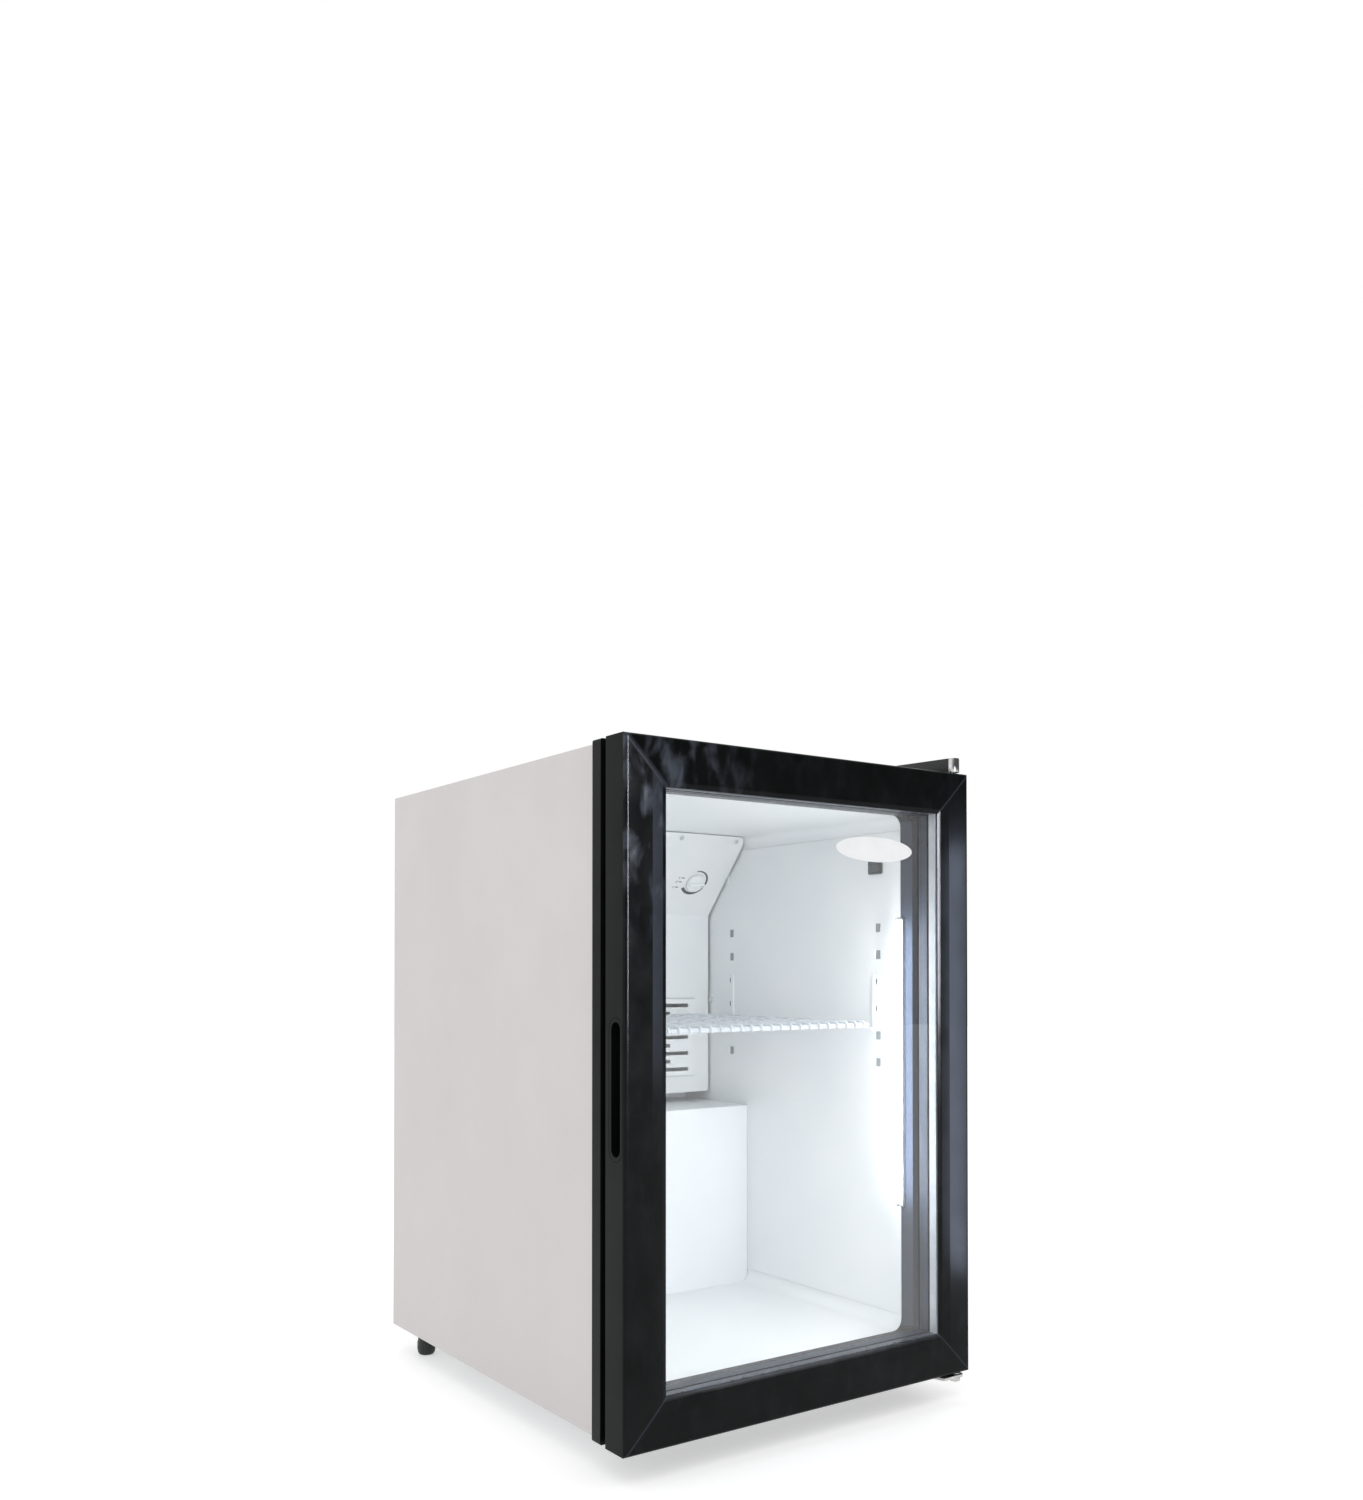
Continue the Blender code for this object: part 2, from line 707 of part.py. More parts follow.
def fan_rotor():
    centre = Vector((0, (fan_front + fan_back) / 2, grille_z))
    hub_back = fan_back - 0.0035 - 0.001 - 0.0006
    hub = disc(0, grille_z, FAN_HUB)
    rotor = plate("fan_rotor", [hub], "xz", fan_front + 0.002, hub_back, "black plastic")
    shape = bmesh.new()
    reach = FAN_SIZE / 2 - FAN_WALL - 0.002
    for i in range(FAN_BLADES):
        blade = bmesh.ops.create_cube(shape, size=1.0)["verts"]
        bmesh.ops.scale(shape, vec=(reach - FAN_HUB + 0.003, 0.013, 0.0014), verts=blade)
        bmesh.ops.rotate(shape, matrix=Matrix.Rotation(FAN_PITCH, 3, "X"), verts=blade)
        bmesh.ops.translate(shape, vec=((reach + FAN_HUB - 0.003) / 2, 0, 0), verts=blade)
        bmesh.ops.rotate(shape, matrix=Matrix.Rotation(2 * math.pi * i / FAN_BLADES, 3, "Y"), verts=blade)
    blades = place("fan_blades", filled_mesh("fan_blades", shape), None)
    blades.location = centre - Vector((0, 0.002, 0))
    shaft = disc(0, grille_z, 0.002, 16)
    return join(rotor, blades, plate("fan_shaft", [shaft], "xz", hub_back - 0.003, fan_back - 0.001))


# Runs back and forth between -half and half, from the top row down
def serpentine(half, y, top, pitch, passes, first):
    points = []
    for row in range(passes):
        side = first * (1 if row % 2 == 0 else -1)
        z = top - row * pitch
        points.append((-side * half, y, z))
        points.append((side * half, y, z))
        if row < passes - 1:
            for step in range(1, 6):
                angle = math.pi * step / 6
                points.append((
                    side * (half + math.sin(angle) * pitch / 2), y, z - (1 - math.cos(angle)) * pitch / 2,
                ))
    return points


def evaporator_coil():
    low, high = step_top + COIL_BOTTOM_GAP, ceiling - COIL_TOP_GAP
    rear = liner_back - FIT
    half = liner_side - COIL_SIDE_GAP
    coil = box("evaporator_coil", (-half, rear - COIL_DEPTH, low), (half, rear, high), "aluminium")
    pitch = (high - low) / COIL_PASSES
    path = serpentine(half + 0.008, rear - COIL_DEPTH / 2, high - pitch / 2, pitch, COIL_PASSES, 1)
    join(coil, tube("coil_tube", [path], 0.004, sides=1))


# Thermostat behind the slanted cover, its knob in front
def thermostat():
    rear = -SHEET - FIT
    width, height = THERMOSTAT_WIDTH / 2, THERMOSTAT_HEIGHT / 2
    body = box("thermostat_body", (-width, -height, rear - THERMOSTAT_DEPTH),
               (width, height, rear), "white plastic")
    hole = plate("stem_hole", [disc(0, 0, STEM_RADIUS + FIT)], "xy", rear - 0.012, 0)
    cut(move(body, dial_turn), move(hole, dial_turn))
    profile = [
        (0, 0.005), (KNOB_RADIUS - 0.0015, 0.005), (KNOB_RADIUS, 0.0038), (KNOB_RADIUS, 0.0008),
        (STEM_RADIUS, 0.0008), (STEM_RADIUS, rear - 0.011), (0, rear - 0.011),
    ]
    knob = move(turned("thermostat_knob", profile, 32, "white plastic"), dial_turn)
    grip = rounded(-KNOB_RADIUS + 0.0006, KNOB_RADIUS - 0.0006, -0.003, 0.003, 0.0028)
    join(knob, move(plate("knob_grip", [grip], "xy", 0.003, KNOB_HEIGHT), dial_turn))
    return knob


# Wire shelf resting on four clips
def wire_shelf():
    side = liner_side - SHELF_SIDE_GAP - SHELF_ROD
    near = liner_front + SHELF_FRONT + SHELF_ROD
    far = cover_face - SHELF_REAR_GAP - SHELF_ROD
    level = shelf_bottom + SHELF_ROD
    ring = [(x, y, level) for x, y in rounded(-side, side, near, far, 0.012)]
    shelf = tube("wire_shelf", [ring], SHELF_ROD, "white wire", closed=True)
    thirds = (near + (far - near) / 3, far - (far - near) / 3)
    rods = [[(-side, y, level), (side, y, level)] for y in thirds]
    height = level + SHELF_ROD + SHELF_WIRE - WELD_BITE
    pitch = 2 * side / (SHELF_WIRES + 1)
    wires = []
    for i in range(SHELF_WIRES):
        x = (i - (SHELF_WIRES - 1) / 2) * pitch
        wires.append([(x, near - SHELF_ROD / 2, height), (x, far + SHELF_ROD / 2, height)])
    join(shelf, tube("shelf_rods", rods, SHELF_ROD), tube("shelf_wires", wires, SHELF_WIRE, sides=1))


def shelf_clip(name, side, y):
    half = CLIP_WIDTH / 2
    bottom = shelf_bottom - FIT - CLIP_LEDGE_THICKNESS
    top = clip_hook + SLOT_PITCH + SLOT_HEIGHT / 2 + 0.003
    wall = liner_side - FIT
    arch = [(y - half, bottom), (y + half, bottom)] + arc(y, top - half, half, 0, 180, 9)
    low, high = across(side, wall - CLIP_PLATE, wall)
    clip = plate(name, [arch], "yz", low, high, "white plastic")
    low, high = across(side, wall - CLIP_LEDGE, wall - CLIP_PLATE / 2)
    join(clip, box(name + "_ledge", (low, y - half + 0.0005, bottom + 0.0002),
                   (high, y + half - 0.0005, shelf_bottom - FIT)))
    low, high = across(side, wall - CLIP_PLATE / 2, liner_side + LINER - FIT)
    for row in range(2):
        z = clip_hook + row * SLOT_PITCH
        join(clip, box(f"{name}_hook_{row}", (low, y - 0.003, z - 0.003), (high, y + 0.003, z + 0.003)))


def shelf_clips():
    for row, y in slot_columns:
        for name, side in (("left", -1), ("right", 1)):
            shelf_clip(f"{row}_{name}_shelf_clip", side, y)


# Lamp strip along the front of the right wall
def lamp():
    wall = liner_side - FIT
    face = wall - LAMP_DEPTH
    near = liner_front - LAMP_OVERLAP
    far = near + LAMP_WIDTH
    low, high = floor + LAMP_BOTTOM_GAP, ceiling - LAMP_TOP_GAP
    path = [(face, near), (wall, near), (wall, far), (face, far)]
    plate("lamp_channel", [strip(path, LAMP_WALL)], "xy", low, high, "aluminium")
    gap = LAMP_WALL + FIT
    box("lamp_lens", (face, near + gap, low + 0.002), (wall - gap, far - gap, high - 0.002), "lamp")


# Light switch in the right wall
switch_y = liner_front + SWITCH_SETBACK
switch_z = ceiling - SWITCH_DROP
switch_face = liner_side - FIT - SWITCH_BEZEL


def switch_block(name, growth, depth):
    half_length = SWITCH_LENGTH / 2 - 0.001 + growth
    half_height = SWITCH_HEIGHT / 2 - 0.0013 + growth
    return box(name, (switch_face + SWITCH_BEZEL / 2, switch_y - half_length, switch_z - half_height),
               (liner_side + depth, switch_y + half_length, switch_z + half_height))


def light_switch():
    length, height = SWITCH_LENGTH / 2, SWITCH_HEIGHT / 2
    bezel = rounded(switch_y - length, switch_y + length, switch_z - height, switch_z + height, 0.002)
    housing = plate("switch_housing", [bezel], "yz", switch_face, switch_face + SWITCH_BEZEL, "grey plastic")
    join(housing, switch_block("switch_body", 0, SWITCH_BODY_DEPTH))
    pivot = Vector((switch_face + 0.002, switch_y, switch_z))
    room = ROCKER_LENGTH / 2 + 0.0009
    width = ROCKER_WIDTH / 2
    cut(housing, box("rocker_space", (switch_face - 0.01, switch_y - room, switch_z - width - FIT),
                     (pivot.x + 0.0031, switch_y + room, switch_z + width + FIT)))
    reach = ROCKER_LENGTH / 2
    valley = 0.0034
    peak = valley + reach * math.tan(ROCKER_TILT)
    outline = [
        (0.0015, -reach + 0.0012), (0.0015, reach - 0.0012), (0.0006, reach), (-peak, reach),
        (-valley, 0), (-peak, -reach), (0.0006, -reach),
    ]
    rocker = plate("switch_rocker", [outline], "xy", -width, width, "grey plastic")
    move(rocker, Matrix.Translation(pivot) @ Matrix.Rotation(-ROCKER_TILT, 4, "Z"))


# Door frame: section points as (distance in from the edge, distance back from the face)
def frame_section():
    angles = [math.radians(90 - 22.5 * i) for i in range(5)]
    edge = [(FRAME_ROUND * (1 - math.sin(t)), FRAME_ROUND * (1 - math.cos(t))) for t in angles]
    seat = GLASS_SETBACK - FIT
    return edge + [
        (FRAME_FLAT, 0), (FRAME_FLAT + FRAME_SLOPE, FRAME_SINK), (FRAME_FACE, seat - FRAME_LIP),
        (FRAME_FACE, seat), (FRAME_FACE - REBATE, seat),
        (FRAME_FACE - REBATE, glass_back + FIT), (FRAME_FACE, glass_back + FIT),
        (FRAME_FACE, DOOR_THICKNESS - 0.002), (FRAME_FACE - 0.002, DOOR_THICKNESS),
        (0.0015, DOOR_THICKNESS), (0, DOOR_THICKNESS - 0.0015),
    ]


# Cuts away what lies beyond the 45 degree joint at a corner of the door
def mitre(piece, side, end, beyond):
    corner = Vector((side * door_side, 0, door_top if end > 0 else door_bottom))
    normal = Vector((beyond * -side, 0, beyond * end)).normalized()
    shape = bmesh.new()
    shape.from_mesh(piece.data)
    shape.transform(piece.matrix_basis)
    whole = shape.verts[:] + shape.edges[:] + shape.faces[:]
    cut_off = bmesh.ops.bisect_plane(
        shape, geom=whole, plane_co=corner - normal * FIT / 2, plane_no=normal, clear_outer=True,
    )
    rim = [part for part in cut_off["geom_cut"] if isinstance(part, bmesh.types.BMEdge)]
    bmesh.ops.edgeloop_fill(shape, edges=rim)
    bmesh.ops.recalc_face_normals(shape, faces=shape.faces)
    shape.transform(piece.matrix_basis.inverted())
    shape.to_mesh(piece.data)
    shape.free()


def door_frame():
    section = frame_section()
    members = {}
    for name, side in (("left_stile", -1), ("right_stile", 1)):
        outline = [(side * (door_side - u), front + v) for u, v in section]
        members[name] = plate(name, [outline], "xy", door_bottom, door_top, "black gloss")
        mitre(members[name], side, -1, 1)
        mitre(members[name], side, 1, 1)
    for name, end, edge in (("bottom_rail", -1, door_bottom), ("top_rail", 1, door_top)):
        outline = [(front + v, edge - end * u) for u, v in section]
        members[name] = plate(name, [outline], "yz", -door_side, door_side, "black gloss")
        mitre(members[name], -1, end, -1)
        mitre(members[name], 1, end, -1)
    return members


# Outline all round the door at a distance in from its edge
def door_outline(inset, radius=0.0):
    ends = (-door_side + inset, door_side - inset, door_bottom + inset, door_top - inset)
    return rounded(*ends, radius, 3) if radius else rectangle(*ends)


def door_ring(name, outer, inner, low, high, finish=None):
    return plate(name, [door_outline(outer), door_outline(inner)], "xz", low, high, finish)


def glazing():
    edge = FRAME_FACE - REBATE + FIT
    face = front + GLASS_SETBACK
    rear = face + PANE + SPACER_DEPTH
    spacer = (FRAME_FACE - SPACER_WIDTH, FRAME_FACE, face + PANE + FIT, rear - FIT)
    return [
        plate("front_pane", [door_outline(edge, 0.002)], "xz", face, face + PANE, "glass"),
        plate("rear_pane", [door_outline(edge, 0.002)], "xz", rear, rear + PANE, "glass"),
        door_ring("spacer_frame", *spacer, "spacer"),
    ]


def door_gasket():
    near = door_back + FIT
    far = frame_front - FIT
    third = (far - near) / 3
    outer, inner = GASKET_INSET, GASKET_INSET + GASKET_WIDTH
    gasket = door_ring("door_gasket", outer + 0.001, inner - 0.001, near, near + third, "rubber")
    return join(
        gasket,
        door_ring("gasket_neck", outer + 0.005, inner - 0.005, near + third / 2, near + third * 2),
        door_ring("gasket_bulb", outer, inner, near + third * 1.7, far),
    )


def finger_grip(stile):
    y, z = front + GRIP_SETBACK, (door_bottom + door_top) / 2 + GRIP_ABOVE_MIDDLE
    edge = -door_side

    def pill(name, growth, depth, start=0.0, finish=None):
        outline = obround(y, z, GRIP_LENGTH + 2 * growth, GRIP_WIDTH + 2 * growth)
        return plate(name, [outline], "yz", edge - start, edge + depth, finish)

    cut(
        stile,
        pill("grip_rebate", GRIP_BEZEL + FIT, GRIP_WALL + FIT, 0.01),
        pill("grip_hole", GRIP_WALL + FIT, GRIP_DEPTH + GRIP_WALL + FIT, 0.01),
    )
    cup = pill("grip_cup", GRIP_BEZEL, GRIP_WALL, finish="black plastic")
    join(cup, pill("grip_well", GRIP_WALL, GRIP_DEPTH + GRIP_WALL, start=-GRIP_WALL / 2))
    return cut(cup, pill("grip_pocket", 0, GRIP_DEPTH, 0.01))


# Hinges on the right: plan outline with a round nose over the pin, flaring to the rear
def hinge_outline(radius, flare, length, start=0.0):
    right = hinge_x + radius
    if start:
        left = hinge_x - radius - (flare - radius) * start / length
        nose = [(left, hinge_y + start), (right, hinge_y + start)]
    else:
        nose = arc(hinge_x, hinge_y, radius, 180, 360, 12)
    return nose + [(right, hinge_y + length), (hinge_x - flare, hinge_y + length)]


def pin_hole(name, low, high):
    return plate(name, [disc(hinge_x, hinge_y, PIN_RADIUS + FIT)], "xy", low, high)


def top_hinge(members):
    under = door_top + HINGE_LIFT
    wall = COVER_WALL + 0.0004
    landing = panel_front + 0.006
    plan = hinge_outline(BOSS_RADIUS - wall, COVER_FLARE - wall, COVER_LENGTH - wall)
    bracket = plate("top_hinge_bracket", [plan], "xy", under, under + HINGE_PLATE, "chrome")
    join(
        bracket,
        box("bracket_foot", (hinge_x - COVER_FLARE / 2, landing, cabinet_top + FIT),
            (hinge_x + BOSS_RADIUS - wall - 0.0005, hinge_y + COVER_LENGTH - 0.006, under + HINGE_PLATE / 2)),
        plate("top_pin", [disc(hinge_x, hinge_y, PIN_RADIUS)], "xy",
              door_top - PIN_ENGAGE, under + HINGE_PLATE / 2),
    )
    for name in ("top_rail", "right_stile"):
        cut(members[name], pin_hole(f"{name}_top_bore", door_top - PIN_ENGAGE - 0.001, door_top + 0.01))
    plan = hinge_outline(BOSS_RADIUS, COVER_FLARE, COVER_LENGTH)
    top = door_top + COVER_HEIGHT
    cover = plate("top_hinge_cover", [plan], "xy", door_top + 0.0015, top, "black plastic")
    bevel = cover.modifiers.new("Bevel", "BEVEL")
    bevel.width = 0.0012
    bevel.segments = 2
    bevel.limit_method = "ANGLE"
    bevel.angle_limit = math.radians(60)

    def inside(inset, start=0.0):
        return hinge_outline(BOSS_RADIUS - inset, COVER_FLARE - inset, COVER_LENGTH - inset, start)

    skirt, hollow = inside(0.0001, landing - 0.002 - hinge_y), inside(COVER_WALL)
    join(cover, plate("cover_skirt", [skirt], "xy", cabinet_top + FIT, door_top + 0.005))
    cut(cover, plate("cover_hollow", [hollow], "xy", cabinet_top - 0.002, top - COVER_WALL))


def bottom_hinge(members):
    upper = door_bottom - HINGE_LIFT
    lower = upper - BOTTOM_PLATE
    right = hinge_x + 0.0075
    left = right - BOTTOM_PLATE_WIDTH
    near = front + 0.0008
    far = front + BOTTOM_PLATE_LENGTH
    plan = [
        (left + 0.004, near), (right - 0.003, near), (right, near + 0.003),
        (right, far), (left, far), (left, near + 0.0145),
    ]
    bracket = plate("bottom_hinge_bracket", [plan], "xy", lower, upper, "chrome")
    join(bracket, box("bracket_riser", (left + 0.002, panel_front + 0.006, upper - BOTTOM_PLATE / 2),
                      (right - 0.002, far - 0.002, base - FIT)))
    cut(bracket, pin_hole("bracket_hole", lower - 0.01, upper + 0.001))
    tip = door_bottom + PIN_ENGAGE
    for name in ("bottom_rail", "right_stile"):
        cut(members[name], pin_hole(f"{name}_bottom_bore", door_bottom - 0.01, tip + 0.001))
    nut = lower - FIT
    profile = [
        (0, tip), (PIN_RADIUS - 0.0006, tip), (PIN_RADIUS, tip - 0.0006), (PIN_RADIUS, door_bottom - FIT),
        (0.0055, door_bottom - FIT), (0.0055, upper + FIT), (PIN_RADIUS, upper + FIT), (PIN_RADIUS, nut),
        (0.0064, nut), (0.0064, nut - 0.0028), (0.0050, nut - 0.0044), (0, nut - 0.0050),
    ]
    pin = turned("bottom_hinge_pin", profile, 16, "chrome")
    pin.location = (hinge_x, hinge_y, 0)


# Compressor niche
compressor_y = back - COMPRESSOR_BACK_GAP
ear_level = base + BASE_SHEET + GROMMET_HEIGHT + 2 * FIT
shell_bottom = ear_level - 0.006


def ear_centres():
    return [(COMPRESSOR_X + sx * (EAR_LENGTH / 2 - 0.013), compressor_y + sy * (EAR_WIDTH / 2 - 0.013))
            for sx in (-1, 1) for sy in (-1, 1)]


def compressor():
    r, h = COMPRESSOR_RADIUS, COMPRESSOR_HEIGHT
    seam = r + 0.0035
    profile = [
        (0, h), (0.33 * r, 0.99 * h), (0.63 * r, 0.96 * h), (0.84 * r, 0.905 * h), (0.96 * r, 0.82 * h),
        (r, 0.72 * h), (r, 0.56 * h), (seam, 0.56 * h), (seam, 0.52 * h), (r, 0.52 * h),
        (r, 0.20 * h), (0.94 * r, 0.09 * h), (0.78 * r, 0.02 * h), (0.5 * r, 0), (0, 0),
    ]
    pot = turned("compressor", profile, 24, "black paint")
    pot.location = (COMPRESSOR_X, compressor_y, shell_bottom)
    ears = rounded(COMPRESSOR_X - EAR_LENGTH / 2, COMPRESSOR_X + EAR_LENGTH / 2,
                   compressor_y - EAR_WIDTH / 2, compressor_y + EAR_WIDTH / 2, 0.012)
    holes = [disc(x, y, 0.004, 12) for x, y in ear_centres()]
    join(pot, plate("compressor_ears", [ears] + holes, "xy", ear_level, ear_level + EAR_THICKNESS))
    for i, (x, y) in enumerate(ear_centres()):
        top = GROMMET_HEIGHT
        profile = [
            (0, top + 0.004), (0.0034, top + 0.004), (0.0034, top), (GROMMET_RADIUS, top),
            (GROMMET_RADIUS, 0.7 * top), (0.8 * GROMMET_RADIUS, 0.5 * top), (GROMMET_RADIUS, 0.3 * top),
            (GROMMET_RADIUS, 0), (0, 0),
        ]
        grommet = turned(f"compressor_grommet_{i + 1}", profile, 12, "rubber")
        grommet.location = (x, y, base + BASE_SHEET + FIT)


def relay_cover():
    face = COMPRESSOR_X - COMPRESSOR_RADIUS
    low = shell_bottom + 0.24 * COMPRESSOR_HEIGHT
    high = shell_bottom + 0.50 * COMPRESSOR_HEIGHT
    cover = box("relay_cover", (face - 0.032, compressor_y - 0.024, low),
                (face + 0.012, compressor_y + 0.024, high), "black plastic")
    saddle = disc(COMPRESSOR_X, compressor_y, COMPRESSOR_RADIUS + FIT, 48)
    cut(cover, plate("relay_saddle", [saddle], "xy", low - 0.01, high + 0.01))


def evaporation_pan():
    low = shell_bottom + COMPRESSOR_HEIGHT + FIT
    ends = (COMPRESSOR_X - PAN_LENGTH / 2, COMPRESSOR_X + PAN_LENGTH / 2,
            compressor_y - PAN_WIDTH / 2, compressor_y + PAN_WIDTH / 2)
    pan = plate("evaporation_pan", [rounded(*ends, 0.010)], "xy", low, low + PAN_HEIGHT, "black plastic")
    inner = (ends[0] + PAN_WALL, ends[1] - PAN_WALL, ends[2] + PAN_WALL, ends[3] - PAN_WALL)
    cut(pan, plate("pan_hollow", [rounded(*inner, 0.0085)], "xy", low + PAN_WALL, low + PAN_HEIGHT + 0.01))


riser_x = shell_side - RISER_INSET
riser_end = niche_ceiling - RISER_DROP
drier_x = DRIER_INSET - shell_side
drier_y = back - DRIER_BACK_GAP
drier_top = niche_ceiling - DRIER_DROP


def tubes():
    start = COMPRESSOR_RADIUS + FIT
    z = shell_bottom + 0.65 * COMPRESSOR_HEIGHT
    turn = COMPRESSOR_X + COMPRESSOR_RADIUS + SUCTION_REACH
    suction = [
        (COMPRESSOR_X + start, compressor_y, z), (turn, compressor_y, z),
        (turn, compressor_y, niche_ceiling - FIT),
    ]
    tube("suction_tube", [bent(suction, TUBE_BEND)], SUCTION_RADIUS, "copper")
    z = shell_bottom + 0.34 * COMPRESSOR_HEIGHT
    aim = Vector((math.cos(math.radians(40)), math.sin(math.radians(40)), 0))
    centre = Vector((COMPRESSOR_X, compressor_y, z))
    elbow = centre + aim * (start + DISCHARGE_REACH)
    discharge = [
        centre + aim * start, elbow, (riser_x, elbow.y, z), (riser_x, condenser_y, z),
        (riser_x, condenser_y, riser_end - FIT),
    ]
    tube("discharge_tube", [bent(discharge, TUBE_BEND)], DISCHARGE_RADIUS, "copper")


def filter_drier():
    length = DRIER_LENGTH
    neck = CONDENSER_TUBE
    profile = [
        (0, 0), (neck, 0), (neck, -0.010), (DRIER_RADIUS, -0.018), (DRIER_RADIUS, -length + 0.014),
        (0.003, -length), (0, -length),
    ]
    drier = turned("filter_drier", profile, 20, "copper")
    drier.location = (drier_x, drier_y, drier_top)
    low = drier_top - length
    loop, aside = low - CAPILLARY_LOOP, drier_x + CAPILLARY_REACH
    tail = [
        (drier_x, drier_y, low + 0.004), (drier_x, drier_y, loop), (aside, drier_y, loop),
        (aside, drier_y, niche_ceiling - FIT),
    ]
    join(drier, tube("capillary", [bent(tail, TUBE_BEND - 0.002)], CAPILLARY_RADIUS, sides=1))


# Wire-and-tube condenser standing off the back panel
def condenser():
    top = cabinet_top - CONDENSER_TOP_GAP
    bottom = niche_ceiling + CONDENSER_BOTTOM_GAP
    pitch = (top - bottom) / (CONDENSER_PASSES - 1)
    half = riser_x - RISER_GAP - pitch / 2
    run = serpentine(half, condenser_y, top, pitch, CONDENSER_PASSES, -1)
    inlet = bent([(riser_x, condenser_y, riser_end), (riser_x, condenser_y, top), run[0]], TUBE_BEND)
    low = niche_ceiling - OUTLET_DROP
    outlet = bent([
        run[-1], (drier_x, condenser_y, bottom), (drier_x, condenser_y, low),
        (drier_x, drier_y, low - TUBE_BEND), (drier_x, drier_y, drier_top + FIT),
    ], TUBE_BEND / 2)
    grid = tube("condenser", [inlet[:-1] + run + outlet[1:]], CONDENSER_TUBE, "black paint", sides=1)
    level = condenser_y + wire_offset
    spans = []
    for i in range(CONDENSER_WIRES):
        x = (2 * i / (CONDENSER_WIRES - 1) - 1) * (half - WIRE_INSET)
        spans.append(((x - CONDENSER_WIRE, level - CONDENSER_WIRE, bottom - WIRE_END),
                      (x + CONDENSER_WIRE, level + CONDENSER_WIRE, top + WIRE_END)))
    join(grid, blocks("condenser_wires", spans))
    for i, row in enumerate((1, CONDENSER_PASSES - 2)):
        for j, side in enumerate((-1, 1)):
            x = side * half * 0.72
            z = top - row * pitch
            join(grid, box(f"condenser_tab_{i}{j}", (x - 0.006, back_panel_rear + FIT, z - 0.0035),
                           (x + 0.006, condenser_y, z + 0.0035)))


def cord_gland():
    z = base + BASE_LIP / 2
    body = [disc(GLAND_X, z, GLAND_RADIUS - FIT, 16), disc(GLAND_X, z, GLAND_BORE, 16)]
    gland = plate("cord_gland", body, "xz", back_panel_rear - 0.007, back_panel_rear + 0.001, "black plastic")
    flange = [disc(GLAND_X, z, GLAND_FLANGE, 16), disc(GLAND_X, z, GLAND_BORE + 0.0001, 16)]
    join(gland, plate("gland_flange", flange, "xz", back_panel_rear + FIT, back_panel_rear + 0.003))


# Moving pieces hang from an empty on their joint axis
def hang(name, place_at, pieces):
    axis = bpy.data.objects.new(name, None)
    parts.objects.link(axis)
    axis.matrix_basis = place_at
    axis.empty_display_size = 0.02
    steps = [modifier for piece in pieces for modifier in piece.modifiers]
    for piece in pieces + [step.object for step in steps if step.type == "BOOLEAN"]:
        piece.parent = axis
        piece.matrix_parent_inverse = place_at.inverted()


def door():
    members = door_frame()
    pieces = list(members.values()) + glazing() + [door_gasket(), finger_grip(members["left_stile"])]
    top_hinge(members)
    bottom_hinge(members)
    hang("door_axis", Matrix.Translation((hinge_x, hinge_y, door_bottom)), pieces)


shell()
front_frame()
foam()
feet()
liner()
evaporator_cover()
air_grille()
fan_frame()
hang("fan_axis", Matrix.Translation((0, (fan_front + fan_back) / 2, grille_z)), [fan_rotor()])
evaporator_coil()
hang("knob_axis", dial_turn, [thermostat()])
wire_shelf()
shelf_clips()
lamp()
light_switch()
door()
compressor()
relay_cover()
evaporation_pan()
tubes()
filter_drier()
condenser()
cord_gland()
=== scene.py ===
import json
import math
import bmesh
import bpy
import numpy as np
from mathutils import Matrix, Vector


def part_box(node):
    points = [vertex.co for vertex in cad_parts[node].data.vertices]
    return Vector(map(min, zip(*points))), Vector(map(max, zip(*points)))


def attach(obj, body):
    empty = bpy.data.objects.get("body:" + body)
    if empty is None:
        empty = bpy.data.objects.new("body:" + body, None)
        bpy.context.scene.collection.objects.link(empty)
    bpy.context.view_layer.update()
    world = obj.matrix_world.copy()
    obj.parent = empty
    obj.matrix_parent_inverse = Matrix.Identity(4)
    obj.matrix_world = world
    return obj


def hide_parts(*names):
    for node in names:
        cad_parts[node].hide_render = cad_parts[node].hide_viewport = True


# Beverage refrigerator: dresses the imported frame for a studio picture. Metres, door towards -Y.
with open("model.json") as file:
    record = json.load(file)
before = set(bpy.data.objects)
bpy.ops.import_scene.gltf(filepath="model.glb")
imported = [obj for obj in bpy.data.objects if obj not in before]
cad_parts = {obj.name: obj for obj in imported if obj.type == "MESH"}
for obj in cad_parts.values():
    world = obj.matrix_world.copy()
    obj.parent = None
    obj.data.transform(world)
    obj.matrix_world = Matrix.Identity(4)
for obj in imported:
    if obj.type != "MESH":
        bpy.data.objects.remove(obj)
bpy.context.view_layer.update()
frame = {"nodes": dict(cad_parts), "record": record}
nodes = frame["nodes"]
slotOf = {part["node"]: part["material_slot"] for part in frame["record"]["subparts"]}
bodyOf = {node: body for body, members in frame["record"]["behaviour"]["bodies"].items() for node in members}
pureWhite, smooth = (1, 1, 1, 1), {"interpolation_type": "SMOOTHSTEP"}
print("frame loaded:", len(nodes), "nodes")


def linearColour(code):
    # sRGB hex to linear RGBA
    channel = np.array([int(code[i:i + 2], 16) for i in (0, 2, 4)]) / 255
    linear = np.where(channel <= 0.04045, channel / 12.92, ((channel + 0.055) / 1.055) ** 2.4)
    return (*linear.tolist(), 1.0)


